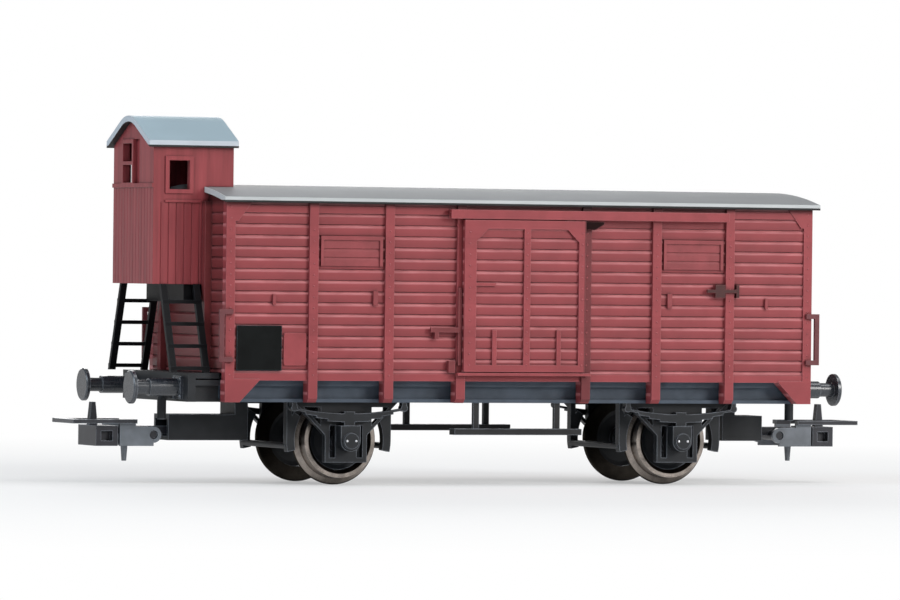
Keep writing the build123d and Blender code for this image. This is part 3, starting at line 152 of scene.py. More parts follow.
class Shader:
    """A finish in the making: one Principled surface whose nodes read the piece's own Object coordinates."""

    def __init__(self, name, colour, roughness, metallic=0.0, specular=0.5):
        self.material = bpy.data.materials.new(name)
        self.material.use_nodes = True
        self.tree = self.material.node_tree
        self.surface = self.tree.nodes["Principled BSDF"]
        self.roughness = roughness
        settings = {"Base Color": (*colour, 1), "Roughness": roughness, "Metallic": metallic,
                    "Specular IOR Level": specular}
        for socket, value in settings.items():
            self.surface.inputs[socket].default_value = value
        self.place = self.add("ShaderNodeTexCoord").outputs["Object"]

    def add(self, kind, links=None, **values):
        """Adds a node, sets its values by property or socket name, and links its inputs."""
        node = self.tree.nodes.new(kind)
        for key, value in values.items():
            if hasattr(node, key):
                setattr(node, key, value)
            else:
                node.inputs[key].default_value = value
        for key, source in (links or {}).items():
            self.tree.links.new(source, node.inputs[key])
        return node

    def math(self, operation, one, other=0.0):
        """An operation on a socket's number and another, which is a socket's too or a plain value."""
        node = self.add("ShaderNodeMath", {0: one}, operation=operation)
        if isinstance(other, bpy.types.NodeSocket):
            self.tree.links.new(other, node.inputs[1])
        else:
            node.inputs[1].default_value = other
        return node.outputs["Value"]

    def vector(self, operation, *sources):
        """The vector that an operation on one or two vectors gives."""
        node = self.add("ShaderNodeVectorMath", dict(enumerate(sources)), operation=operation)
        return node.outputs["Vector"]

    def measure(self, operation, *sources):
        """The number that an operation on one or two vectors gives."""
        node = self.add("ShaderNodeVectorMath", dict(enumerate(sources)), operation=operation)
        return node.outputs["Value"]

    def parts(self, vector=None):
        """The X, Y and Z of a vector, or else of the place on the object."""
        return self.add("ShaderNodeSeparateXYZ", {"Vector": vector or self.place}).outputs

    def moved(self, location=(0, 0, 0), scale=(1, 1, 1)):
        """Object coordinates scaled along each axis and then moved."""
        node = self.add("ShaderNodeMapping", {"Vector": self.place}, Location=location, Scale=scale)
        return node.outputs["Vector"]

    def noise(self, size, detail=CLOUD_DETAIL, stretch=(1, 1, 1)):
        """Noise from 0 to 1 whose patches measure about size, on coordinates scaled along each axis."""
        node = self.add("ShaderNodeTexNoise", {"Vector": self.moved(scale=stretch)}, Scale=1 / (size * MM),
                        Detail=detail, Roughness=NOISE_ROUGHNESS)
        return node.outputs["Fac"]

    def shaded(self, source, colour, shares):
        """A colour times the first share where a noise is low, running to the second where it is high."""
        node = self.add("ShaderNodeValToRGB", {"Fac": source})
        for element, position, share in zip(node.color_ramp.elements, NOISE_MIDDLE, shares):
            element.position = position
            element.color = (*tint(colour, share), 1)
        return node.outputs["Color"]

    def times(self, colour, level):
        """A colour multiplied by a number."""
        return self.vector("MULTIPLY", colour, level)

    def mixed(self, share, colour, other):
        """The first colour where share is 0, and the other where it is 1."""
        # The node's sockets for colours come after those of the same names for numbers and vectors.
        links = {0: share, 6: colour, 7: other}
        return self.add("ShaderNodeMix", links, data_type="RGBA").outputs[2]

    def span(self, source, low, high, start=0.0, end=1.0):
        """A number that runs from low to high as source runs from start to end."""
        node = self.add("ShaderNodeMapRange", {"Value": source})
        for socket, value in (("From Min", start), ("From Max", end), ("To Min", low), ("To Max", high)):
            node.inputs[socket].default_value = value
        return node.outputs["Result"]

    def where(self, mask, level):
        """The level where the mask is 1, and 1 where the mask is 0."""
        return self.math("ADD", self.math("MULTIPLY", self.math("SUBTRACT", level, 1.0), mask), 1.0)

    def rounded(self, radius):
        """A normal that rounds the edges over a radius."""
        return self.add("ShaderNodeBevel", samples=EDGE_SAMPLES, Radius=radius * MM).outputs["Normal"]

    def edges(self):
        """A share that is 0 on flat faces and 1 on their edges, by how far a rounded normal leans there."""
        face = self.add("ShaderNodeNewGeometry").outputs["Normal"]
        return self.span(self.measure("DOT_PRODUCT", self.rounded(EDGE_REACH), face), 1.0, 0.0, *EDGE_LEAN)

    def painted_shade(self, reach=SHADE_REACH, dark=SHADE_DARK):
        """A painted shade: a level that falls from 1 on open faces to dark in the corners beside what stands
        proud.
        """
        node = self.add("ShaderNodeAmbientOcclusion", samples=SHADE_SAMPLES, Distance=reach * MM)
        return self.span(node.outputs["AO"], dark, 1.0, *SHADE_OPEN)

    def roughened(self, skin, spread):
        """Roughness that strays from its middle by the ends of a spread as a noise runs from 0 to 1."""
        return self.span(skin, *(self.roughness + end for end in spread))

    def linked(self, sources):
        """The material, with each named socket of its surface fed by a source."""
        for socket, source in sources.items():
            self.tree.links.new(source, self.surface.inputs[socket])
        return self.material

    def finished(self, tone, skin, spread, depth, rounding, strength=BUMP_STRENGTH):
        """The material in a tone, with roughness and bumps read from a skin noise, and rounded edges."""
        bump = self.add("ShaderNodeBump", {"Height": skin, "Normal": self.rounded(rounding)},
                        Distance=depth * MM, Strength=strength)
        return self.linked({"Base Color": tone, "Roughness": self.roughened(skin, spread),
                            "Normal": bump.outputs["Normal"]})


# Satin paint on all red pieces: gloss, rounding of the edges, the darkest and palest shades of pale edges,
# from wear and a painted highlight, as shares of their colour, and how much of that colour shows on the rims
# of bars and fittings
PAINT_ROUGHNESS = 0.40
PAINT_SPREAD = (-0.06, 0.08)
PAINT_SPECULAR = 0.3
PAINT_ROUNDING = 0.08
EDGE_SHADES = (0.9, 1.1)
RIM_WEAR_AND_HIGHLIGHT = 0.45

# Paint on boards: sizes of blotches, of fibres and of the patches in which the pale upper edges show. A
# stretch scales the coordinates, so less than 1 draws the pattern out along that axis.
BOARD_BLOTCH = 5.0
BOARD_FIBRE = 0.30
FIBRE_STRETCH = (0.06, 0.06, 1)
FIBRE_DEPTH = 0.03
PALE_EDGE_PATCH = 4.0
PALE_EDGE_STRETCH = (1, 1, 6)

# Shades of the boards as shares of their colour: in blotches, from board to board, and from foot to top, this
# last a painted shade that darkens each board towards its foot
BLOTCH_SHADES = (0.92, 1.08)
BOARD_SHADES = (0.94, 1.06)
FOOT_SHADE_TO_TOP = (0.80, 1.03)

# The boards' pale upper edges, from wear and a painted highlight: least and most of it, and how far it
# reaches as a share of a board's height
EDGE_WEAR_AND_HIGHLIGHT = (0.55, 1.0)
SHADED_EDGE_WEAR_AND_HIGHLIGHT = (0.05, 0.25)
PALE_EDGE_REACH = 0.14

# The seams between boards: their darkest level, how far it fades past the lip as a share of a board's
# height, and how far out from the boards' face still counts as board
SEAM_DARK = 0.75
SEAM_FADE = 0.02
SEAM_MARGIN = 0.06

# The post that a door shuts against, painted dark as shade: where it stands along the near side from the
# body's middle, its half width and its darkest level
SHUT_POST_X = 9.75
SHUT_POST_HALF = 0.85
SHUT_POST_DARK = 0.55

# Painted shadow below the roof's edge: the heights over which it darkens, and its level
EAVE_SHADOW_FROM = 39.5
EAVE_SHADOW_TO = 40.1
EAVE_SHADOW_DARK = 0.35


def shut_post_shade(shader, place, proud):
    """A painted shade: a level that is dark on the bars round the shut post of each side, and 1 elsewhere.
    The far side is the near side turned half round, so the distance along the wagon takes the sign of the
    side."""
    along = shader.math("SUBTRACT", place["X"], BODY_X * MM)
    turned = shader.math("MULTIPLY", along, shader.math("SIGN", place["Y"]))
    from_post = shader.math("ABSOLUTE", shader.math("ADD", turned, SHUT_POST_X * MM))
    on_post = shader.math("LESS_THAN", from_post, SHUT_POST_HALF * MM)
    return shader.span(shader.math("MULTIPLY", on_post, proud), 1.0, SHUT_POST_DARK)


def board_paint(name, axis, middle, face, colour, wear):
    """Satin paint on boards whose face lies at a distance from the middle along an axis. Each board has its
    own tone, darkened towards its foot and in its corners by painted shade, with a pale upper edge from wear
    and a painted highlight, a dark seam and fine grain. What stands proud of the boards has pale rims, from
    wear and painted highlights. Along the wagon the post that a door shuts against is painted dark as shade,
    and everywhere the band under the roof's edge has a painted shadow."""
    shader = Shader(name, colour, PAINT_ROUGHNESS, specular=PAINT_SPECULAR)
    place = shader.parts()
    out = shader.math("ABSOLUTE", shader.math("SUBTRACT", place[axis], middle * MM))
    on_board = shader.math("LESS_THAN", out, (face + SEAM_MARGIN) * MM)
    proud = shader.math("GREATER_THAN", out, (face + SEAM_MARGIN) * MM)
    count = shader.math("DIVIDE", shader.math("SUBTRACT", place["Z"], BOARD_FOOT * MM), BOARD_PITCH * MM)
    board = shader.math("FLOOR", count)
    share = shader.math("FRACT", count)
    slope = 1 - BOARD_SLOPE / BOARD_PITCH
    lip = BOARD_LIP / BOARD_PITCH

    blotch = shader.noise(BOARD_BLOTCH, BLOTCH_DETAIL)
    own_shade = shader.add("ShaderNodeTexWhiteNoise", {"W": board}, noise_dimensions="1D").outputs["Value"]
    tone = shader.shaded(blotch, colour, BLOTCH_SHADES)
    tone = shader.times(tone, shader.span(own_shade, *BOARD_SHADES))
    tone = shader.times(tone, shader.where(on_board, shader.span(share, *FOOT_SHADE_TO_TOP, 0.0, slope)))
    tone = shader.times(tone, shader.painted_shade())

    pink = shader.shaded(blotch, EDGE_PINK, EDGE_SHADES)
    rim = shader.math("MULTIPLY", shader.math("MULTIPLY", shader.edges(), proud), RIM_WEAR_AND_HIGHLIGHT)
    tone = shader.mixed(rim, tone, pink)
    along_the_wagon = axis == "Y"
    if along_the_wagon:
        tone = shader.times(tone, shut_post_shade(shader, place, proud))

    wear_and_highlight = shader.span(shader.noise(PALE_EDGE_PATCH, stretch=PALE_EDGE_STRETCH), *wear, *NOISE_MIDDLE)
    worn_and_lit_edge = shader.math("MULTIPLY", shader.span(share, 0.0, 1.0, slope - PALE_EDGE_REACH, slope), wear_and_highlight)
    tone = shader.mixed(shader.math("MULTIPLY", worn_and_lit_edge, on_board), tone, pink)
    seam = shader.span(share, SEAM_DARK, 1.0, 0.0, lip + SEAM_FADE)
    tone = shader.times(tone, shader.where(on_board, seam))
    tone = shader.times(tone, shader.span(place["Z"], 1.0, EAVE_SHADOW_DARK, EAVE_SHADOW_FROM * MM, EAVE_SHADOW_TO * MM))
    fibre = shader.noise(BOARD_FIBRE, FIBRE_DETAIL, FIBRE_STRETCH)
    return shader.finished(tone, fibre, PAINT_SPREAD, FIBRE_DEPTH, PAINT_ROUNDING)


# Paint on plain fittings: sizes of blotches and skin, and where a flap's latches stand proud of it
FITTING_BLOTCH = 2.5
FITTING_SKIN = 0.15
FITTING_DEPTH = 0.015
FITTING_SHADES = (0.90, 1.10)
LATCH_SHADES = (0.8, 1.2)
LATCH_FROM = 15.95


def fitting_paint(name, colour, edge_colour, specular=PAINT_SPECULAR, latch_colour=None):
    """The same satin paint on plain fittings, blotched a little, with painted shade in its corners, and paler
    on the edges from wear and a painted highlight. With a latch colour, what lies farther out from the
    wagon's middle than the flaps takes that."""
    shader = Shader(name, colour, PAINT_ROUGHNESS, specular=specular)
    blotch = shader.noise(FITTING_BLOTCH, BLOTCH_DETAIL)
    tone = shader.shaded(blotch, colour, FITTING_SHADES)
    if latch_colour:
        out = shader.math("ABSOLUTE", shader.parts()["Y"])
        latch = shader.math("GREATER_THAN", out, LATCH_FROM * MM)
        tone = shader.mixed(latch, tone, shader.shaded(blotch, latch_colour, LATCH_SHADES))
    tone = shader.times(tone, shader.painted_shade())
    rim = shader.math("MULTIPLY", shader.edges(), RIM_WEAR_AND_HIGHLIGHT)
    tone = shader.mixed(rim, tone, shader.shaded(blotch, edge_colour, EDGE_SHADES))
    return shader.finished(tone, shader.noise(FITTING_SKIN), PAINT_SPREAD, FITTING_DEPTH, PAINT_ROUNDING)


# Paint on the cab's planks: sizes of streaks and fibres across, and how they are drawn out in height
PLANK_STREAK = 0.9
STREAK_STRETCH = (1, 1, 0.05)
PLANK_FIBRE = 0.25
PLANK_FIBRE_STRETCH = (1, 1, 0.08)
PLANK_SHADES = (0.80, 1.12)


def plank_paint(name):
    """The satin paint on the cab's upright planks, streaked from top to bottom, with painted shade in its
    corners.
    """
    shader = Shader(name, RED_BROWN, PAINT_ROUGHNESS, specular=PAINT_SPECULAR)
    streak = shader.noise(PLANK_STREAK, BLOTCH_DETAIL, STREAK_STRETCH)
    tone = shader.times(shader.shaded(streak, RED_BROWN, PLANK_SHADES), shader.painted_shade())
    fibre = shader.noise(PLANK_FIBRE, BLOTCH_DETAIL, PLANK_FIBRE_STRETCH)
    return shader.finished(tone, fibre, PAINT_SPREAD, FIBRE_DEPTH, PAINT_ROUNDING)


# Roof paint: sizes of clouds and of its orange-peel skin, and shades
ROOF_CLOUD = 9.0
ROOF_PEEL = 0.25
PEEL_DEPTH = 0.012
ROOF_ROUNDING = 0.10
ROOF_SPECULAR = 0.35
ROOF_SHADES = (0.96, 1.04)
UNDER_SHADES = (0.8, 1.2)

# Where a roof is pale or dark: its edge as a share of its half size, how far its underside faces up where it
# takes painted shade, and the height of the painted shadow at its foot
ROOF_EDGE_FROM = 0.997
UNDERSIDE_LEAN = -0.2
ROOF_SHADOW_STRIP = 0.30


def roof_paint(name, node, colour, edge_colour, roughness):
    """Matt sprayed roof paint with a fine orange-peel skin, paler upright edges, painted shade on its
    underside and a painted shadow along its foot. The edges are where the larger of the distances from the
    roof's middle, each as a share of its half size, is nearly 1."""
    shader = Shader(name, colour, roughness, specular=ROOF_SPECULAR)
    low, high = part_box(node)
    middle, half = (low + high) / 2, (high - low) / 2
    from_middle = shader.moved((-middle.x / half.x, -middle.y / half.y, 0), (1 / half.x, 1 / half.y, 0))
    distance = shader.parts(shader.vector("ABSOLUTE", from_middle))
    edge = shader.math("GREATER_THAN", shader.math("MAXIMUM", distance["X"], distance["Y"]), ROOF_EDGE_FROM)
    cloud = shader.noise(ROOF_CLOUD)
    tone = shader.shaded(cloud, colour, ROOF_SHADES)
    tone = shader.mixed(edge, tone, shader.shaded(cloud, edge_colour, ROOF_SHADES))
    facing = shader.parts(shader.add("ShaderNodeNewGeometry").outputs["True Normal"])
    below = shader.math("LESS_THAN", facing["Z"], UNDERSIDE_LEAN)
    strip = shader.math("LESS_THAN", shader.parts()["Z"], low.z + ROOF_SHADOW_STRIP * MM)
    dark = shader.math("MAXIMUM", below, strip)
    tone = shader.mixed(dark, tone, shader.shaded(cloud, ROOF_UNDER_SHADE, UNDER_SHADES))
    return shader.finished(tone, shader.noise(ROOF_PEEL), PAINT_SPREAD, PEEL_DEPTH, ROOF_ROUNDING)


# Moulded plastic: sizes of its clouds and skin, and shades
PLASTIC_CLOUD = 3.0
PLASTIC_SKIN = 0.12
SKIN_DEPTH = 0.012
PLASTIC_ROUNDING = 0.06
PLASTIC_SPREAD = (-0.08, 0.10)
PLASTIC_SHADES = (0.85, 1.2)
WORN_AND_HIGHLIT_SHADES = (0.6, 1.1)


def moulded_plastic(name, colour, roughness, rounding, specular, wear_and_highlight):
    """Moulded plastic with a fine matt skin, faint clouds, painted shade in its corners, and edges paled by
    wear and a painted highlight.
    """
    shader = Shader(name, colour, roughness, specular=specular)
    cloud = shader.noise(PLASTIC_CLOUD)
    tone = shader.times(shader.shaded(cloud, colour, PLASTIC_SHADES), shader.painted_shade())
    rim = shader.math("MULTIPLY", shader.edges(), wear_and_highlight)
    tone = shader.mixed(rim, tone, shader.shaded(cloud, WORN_AND_HIGHLIT_PLASTIC, WORN_AND_HIGHLIT_SHADES))
    return shader.finished(tone, shader.noise(PLASTIC_SKIN), PLASTIC_SPREAD, SKIN_DEPTH, rounding)


# The bails: gloss, the shades of their bright edges, which are a painted highlight, and the height from which
# the plate is dark
BAIL_ROUGHNESS = 0.30
BAIL_HIGHLIGHT_SHADES = (1.0, 2.2)
BAIL_PLATE_FROM = 8.55


def bail_plastic(name):
    """Light grey plastic on the arms that turns dark on the flat plate above them, with painted shade in its
    corners and a painted highlight on its edges.
    """
    shader = Shader(name, BAIL_GREY, BAIL_ROUGHNESS)
    plate = shader.math("GREATER_THAN", shader.parts()["Z"], BAIL_PLATE_FROM * MM)
    cloud = shader.noise(PLASTIC_CLOUD)
    tone = shader.mixed(plate, shader.shaded(cloud, BAIL_GREY, PLASTIC_SHADES),
                        shader.shaded(cloud, COUPLER_BLACK, PLASTIC_SHADES))
    tone = shader.times(tone, shader.painted_shade())
    tone = shader.mixed(shader.edges(), tone, shader.shaded(cloud, BAIL_GREY, BAIL_HIGHLIGHT_SHADES))
    return shader.finished(tone, shader.noise(PLASTIC_SKIN), PLASTIC_SPREAD, SKIN_DEPTH, PLASTIC_ROUNDING)


# The underframe's gloss
SOLE_ROUGHNESS = 0.45
SOLE_SPREAD = (-0.07, 0.10)
SOLE_SPECULAR = 0.3


def sole_plastic(name):
    """Blue-grey plastic along the sole bars that turns black on the cab end's platform."""
    shader = Shader(name, SOLE_BLUE, SOLE_ROUGHNESS, specular=SOLE_SPECULAR)
    under_body = shader.math("GREATER_THAN", shader.parts()["X"], wall_low[0] * MM)
    cloud = shader.noise(PLASTIC_CLOUD)
    tone = shader.mixed(under_body, shader.shaded(cloud, PLATFORM_BLACK, PLASTIC_SHADES),
                        shader.shaded(cloud, SOLE_BLUE, PLASTIC_SHADES))
    return shader.finished(tone, shader.noise(PLASTIC_SKIN), SOLE_SPREAD, SKIN_DEPTH, PLASTIC_ROUNDING)


# Bright bolts: gloss, and the size and shades of their clouds
BOLT_ROUGHNESS = 0.25
BOLT_SPREAD = (-0.05, 0.10)
BOLT_CLOUD = 0.4
BOLT_SHADES = (0.8, 1.1)


def bright_metal(name):
    """Bright bolt metal, clouded in colour and gloss."""
    shader = Shader(name, BOLT_STEEL, BOLT_ROUGHNESS, metallic=1.0)
    cloud = shader.noise(BOLT_CLOUD)
    return shader.linked({"Base Color": shader.shaded(cloud, BOLT_STEEL, BOLT_SHADES),
                          "Roughness": shader.roughened(cloud, BOLT_SPREAD)})


# Turned tyres: gloss, the spacing and depth of the lathe's rings, the size of stains, and shades
TYRE_ROUGHNESS = 0.3
TYRE_SPREAD = (-0.10, 0.04)
RING_SPACING = 0.5
RING_WAVER = 0.4
RING_DEPTH = 0.01
RING_STRENGTH = 0.4
TYRE_WEAR = 1.5
TYRE_ROUNDING = 0.06
TYRE_SHADES = (0.75, 1.2)
STAIN_SHADES = (0.7, 1.3)

# Where a tyre is bright: its tread from the wagon's middle, its stained face from the axle, and the reach and
# darkest level of its painted shade
TREAD_FROM = 7.6
TYRE_FACE_TO = 4.80
WHEEL_SHADE = 2.2
WHEEL_DARK = 0.25


def turned_metal(name, axle):
    """Turned steel about an axle: fine rings, a stained face round it, a dark flange side, and painted shade
    where other parts stand near it.
    """
    shader = Shader(name, TYRE_METAL, TYRE_ROUGHNESS, metallic=1.0)
    centred = shader.moved((-axle.x, 0, -axle.z))
    rings = shader.add("ShaderNodeTexWave", {"Vector": centred}, wave_type="RINGS", rings_direction="Y",
                       Scale=1 / (RING_SPACING * MM), Distortion=RING_WAVER).outputs["Fac"]
    wear = shader.noise(TYRE_WEAR, BLOTCH_DETAIL)
    bright = shader.shaded(wear, TYRE_METAL, TYRE_SHADES)
    black = shader.shaded(wear, FLANGE_DARK, TYRE_SHADES)
    stain = shader.shaded(wear, TYRE_STAIN, STAIN_SHADES)
    radius = shader.measure("LENGTH", shader.moved((-axle.x, 0, -axle.z), (1, 0, 1)))
    face = shader.math("LESS_THAN", radius, TYRE_FACE_TO * MM)
    tread = shader.math("GREATER_THAN", shader.math("ABSOLUTE", shader.parts()["Y"]), TREAD_FROM * MM)
    tone = shader.mixed(tread, black, shader.mixed(face, bright, stain))
    tone = shader.times(tone, shader.painted_shade(WHEEL_SHADE, WHEEL_DARK))
    return shader.finished(tone, rings, TYRE_SPREAD, RING_DEPTH, TYRE_ROUNDING, RING_STRENGTH)


BOARDED = (
    # finish, axis across it, middle, face from the middle, colour, least and most of the pale upper edges'
    # wear and painted highlight
    ("wall_boards", "Y", 0, BOARD_FACE, RED_BROWN, EDGE_WEAR_AND_HIGHLIGHT),
    ("door_boards", "Y", 0, DOOR_FACE, RED_BROWN, EDGE_WEAR_AND_HIGHLIGHT),
    ("end_boards", "X", BODY_X, BODY_HALF, RED_BROWN, EDGE_WEAR_AND_HIGHLIGHT),
    # the end wall under the cab: painted shade, with less of the pale upper edges
    ("shaded_boards", "X", BODY_X, BODY_HALF, SHADED_BROWN, SHADED_EDGE_WEAR_AND_HIGHLIGHT),
)

FITTINGS = (
    # finish, material, colour, colour of its edges, specular level
    ("body_red", "red_fittings", RED_BROWN, EDGE_PINK, PAINT_SPECULAR),
    ("lever_brown", "lever_brown", LEVER_BROWN, EDGE_PINK, PAINT_SPECULAR),
    ("rail_brown", "rail_brown", RAIL_BROWN, FLAP_BROWN, PAINT_SPECULAR),
    # the roller bracket: painted shade of its hole and shadow
    ("roller_brown", "roller_brown", ROLLER_BROWN, EDGE_PINK, 0.05),
)

ROOFS = (
    # finish, material, node, colour, colour of its edges, roughness
    ("roof_grey", "roof_grey", "roof", ROOF_GREY, ROOF_EDGE, 0.62),
    ("cab_roof_grey", "cab_roof_blue", "cab_roof", CAB_ROOF_BLUE, CAB_ROOF_EDGE, 0.5),
)

PLASTICS = (
    # finish, material, colour, roughness, rounding of its edges, specular level, how much its edges are paled
    # by wear and a painted highlight
    ("frame_black", "frame_plastic", FRAME_BLACK, 0.46, 0.06, 0.3, 1.0),
    ("footboard_black", "footboard_plastic", FOOTBOARD_BLACK, 0.5, 0.06, 0.3, 1.0),
    ("buffer_black", "buffer_plastic", BUFFER_BLACK, 0.26, 0.06, 0.8, 1.0),
    ("ladder_black", "ladder_plastic", LADDER_BLACK, 0.4, 0.06, 0.10, 0.08),
    ("coupler_grey", "coupler_plastic", COUPLER_BLACK, 0.36, 0.06, 0.4, 1.0),
    ("panel_black", "panel_paint", PANEL_BLACK, 0.6, 0.05, 0.06, 0.4),
    ("ballast_steel", "ballast_metal", STEEL, 0.45, 0.05, 0.3, 1.0),
)


def make_finishes():
    """All finishes by name. Those named for a slot of the record serve the nodes of that slot."""
    finishes = {
        "cab_planks": plank_paint("cab_planks"),
        "flap_brown": fitting_paint("flap_brown", FLAP_BROWN, FLAP_BROWN, latch_colour=LATCH_BROWN),
        "sole_plastic": sole_plastic("sole_plastic"),
        "bail_grey": bail_plastic("bail_plastic"),
        "cover_metal": bright_metal("cover_metal"),
    }
    finishes |= {finish: board_paint(finish, *values) for finish, *values in BOARDED}
    finishes |= {finish: fitting_paint(*values) for finish, *values in FITTINGS}
    finishes |= {finish: roof_paint(*values) for finish, *values in ROOFS}
    finishes |= {finish: moulded_plastic(*values) for finish, *values in PLASTICS}
    return finishes


# Nodes whose finish is finer than their slot's, by the start of their names
NODE_FINISHES = {
    "side_wall": "wall_boards",
    "door_near": "door_boards",
    "door_far": "door_boards",
    "end_wall_plain": "end_boards",
    "end_wall_cab": "shaded_boards",
    "door_lock": "lever_brown",
    "door_roller": "roller_brown",
    "cab_shell": "cab_planks",
    "vent_fittings": "flap_brown",
    "handrails": "rail_brown",
    "underframe": "sole_plastic",
    "footboard": "footboard_black",
    "bail": "bail_grey",
}


def paint_nodes(finishes):
    """Gives every node of the frame its finish. Wheel metal is turned about the node's own middle."""
    slots = {part["node"]: part["material_slot"] for part in frame["record"]["subparts"]}
    for name, piece in frame["nodes"].items():
        finer = [finish for start, finish in NODE_FINISHES.items() if name.startswith(start)]
        if slots[name] == "wheel_metal":
            low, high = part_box(name)
            finish = turned_metal("turned_" + name, (low + high) / 2)
        else:
            finish = finishes[finer[0] if finer else slots[name]]
        piece.data.materials.clear()
        piece.data.materials.append(finish)


# Rivet and bolt heads: sizes, how far they are sunk into their face, and the rings that shape them
RIVET_RADIUS = 0.15
RIVET_HEIGHT = 0.08
BOLT_RADIUS = 0.26
BOLT_HEIGHT = 0.16
COVER_BOLT_RADIUS = 0.195
COVER_BOLT_HEIGHT = 0.104
HEAD_SINK = 0.05
HEAD_SIDES = 10
HEAD_RINGS = (0.55, 0.85, 1.0)


def closed(rings, top, bottom):
    """Points and triangles of a stack of rings, indexed (ring, point, xyz), closed by a fan to the top point
    at its first ring and to the bottom point at its last. The rings turn anticlockwise seen from the top."""
    count, sides = rings.shape[:2]
    points = np.vstack((top, rings.reshape(-1, 3), bottom))
    here = 1 + np.arange(sides)
    after = 1 + (np.arange(sides) + 1) % sides
    band = sides * np.arange(count - 1)[:, None]
    upper_here, upper_after = (band + here).ravel(), (band + after).ravel()
    last = sides * (count - 1)
    triangles = np.vstack((
        np.column_stack((np.zeros_like(here), here, after)),
        np.column_stack((upper_here, upper_here + sides, upper_after + sides)),
        np.column_stack((upper_here, upper_after + sides, upper_after)),
        np.column_stack((last + here, np.full_like(here, len(points) - 1), last + after))))
    return points, triangles


def round_heads(centres, facing, radius, height):
    """Rivet or bolt heads on one face. Round a head's axis the angle runs a full turn, and from its middle to
    its rim a share runs from 0 to 1. A point lies radius times share out, and height times (1 - share cubed)
    up. The same points are moved to every centre."""
    facing = np.array(facing, dtype=float)
    across = np.array((0.0, 1.0, 0.0)) if facing[0] else np.array((1.0, 0.0, 0.0))
    other = np.cross(facing, across)
    share = np.array(HEAD_RINGS)[:, None, None]
    angle = np.linspace(0, 2 * np.pi, HEAD_SIDES, endpoint=False)[None, :, None]
    outward = radius * share * (np.cos(angle) * across + np.sin(angle) * other)
    rings = outward + height * (1 - share ** 3) * facing
    points, triangles = closed(rings, height * facing, -HEAD_SINK * facing)
    centres = np.array(centres, dtype=float)
    all_points = (centres[:, None, :] + points[None]).reshape(-1, 3)
    shift = len(points) * np.arange(len(centres))[:, None, None]
    return all_points, (shift + triangles[None]).reshape(-1, 3)


def put(name, shape, finish, body):
    """Makes a piece of points in millimetres and triangles, with its finish and the body it rides."""
    points, triangles = shape
    mesh = bpy.data.meshes.new(name)
    mesh.from_pydata((points * MM).tolist(), [], triangles.tolist())
    mesh.materials.append(finish)
    piece = bpy.data.objects.new(name, mesh)
    bpy.context.scene.collection.objects.link(piece)
    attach(piece, body)


# Columns of rivets on the near side, along from the body's middle, one rivet to each board
POST_COLUMNS = (-32.4, -20.8, 9.75, 20.8, 32.4)
CORNER_COLUMNS = (-44.925, 44.925)
DOOR_COLUMNS = (-8.9, 0.0, 8.575)

# Boards left bare at the posts' tops, and the bare lengths at a door's foot and top
POST_BARE_BOARDS = 2
DOOR_BARE_FOOT = 0.4
DOOR_BARE_TOP = 1.4


def column_places(columns, face, heights):
    """Places on the near side where each column meets each height, at a distance out from the middle."""
    x, z = np.meshgrid(BODY_X + np.array(columns), heights)
    return np.column_stack((x.ravel(), np.full(x.size, -face), z.ravel()))


def turned_round(places):
    """Places of the near side turned half round the body's middle to the far side."""
    return np.column_stack((2 * BODY_X - places[:, 0], -places[:, 1], places[:, 2]))


def rivets(finishes):
    """One rivet to each board down the posts, the corner posts and the doors' uprights."""
    heights = BOARD_FOOT + (np.arange(BOARDS) + 0.5) * BOARD_PITCH
    on_post = heights[:-POST_BARE_BOARDS]
    on_door = heights[(heights > door_low[2] + DOOR_BARE_FOOT) & (heights < door_high[2] - DOOR_BARE_TOP)]
    sets = (
        # name, near-side places, body on the near side, body on the far side
        ("post_rivets", column_places(POST_COLUMNS, POST_FACE, on_post), "wagon", "wagon"),
        ("corner_rivets", column_places(CORNER_COLUMNS, CORNER_FACE, heights), "wagon", "wagon"),
        ("door_rivets", column_places(DOOR_COLUMNS, DOOR_FRONT, on_door), "door_near", "door_far"),
    )
    for name, places, near_body, far_body in sets:
        for side, centres, facing, body in (("near", places, (0, -1, 0), near_body),
                                            ("far", turned_round(places), (0, 1, 0), far_body)):
            put(f"{name}_{side}", round_heads(centres, facing, RIVET_RADIUS, RIVET_HEIGHT),
                finishes["body_red"], body)


# The buffers: their middles, how thick the base is, and its bolts from its middle
BUFFER_Y = 10.05
BUFFER_Z = 13.9
BASE_THICK = 0.4
BASE_BOLT = 1.25


def buffer_bolts(finishes):
    """Four bolts at the corners of each buffer's base."""
    y, z, side = np.meshgrid((-BASE_BOLT, BASE_BOLT), (-BASE_BOLT, BASE_BOLT), (-BUFFER_Y, BUFFER_Y))
    for name, end in (("cab_end", -1), ("plain_end", 1)):
        face = np.full(y.size, end * (HEADSTOCK_X + BASE_THICK))
        centres = np.column_stack((face, (y + side).ravel(), BUFFER_Z + z.ravel()))
        put(f"buffer_bolts_{name}", round_heads(centres, (end, 0, 0), BOLT_RADIUS, BOLT_HEIGHT),
            finishes["buffer_black"], "wagon")


# Bolts on each axle box's cover, along the wagon from its middle
COVER_BOLTS = (-0.68, 0.68)


def cover_bolts(finishes):
    """Two bolts on each axle box's round cover, level with the axle."""
    for end in ("cab_end", "plain_end"):
        low, high = box_mm(f"axle_boxes_{end}")
        axle_low, axle_high = box_mm(f"axle_{end}")
        middle = (axle_low + axle_high) / 2
        for side, face, facing in (("near", low[1], (0, -1, 0)), ("far", high[1], (0, 1, 0))):
            centres = [(middle[0] + x, face, middle[2]) for x in COVER_BOLTS]
            shape = round_heads(centres, facing, COVER_BOLT_RADIUS, COVER_BOLT_HEIGHT)
            put(f"cover_bolts_{end}_{side}", shape, finishes["cover_metal"], "wagon")


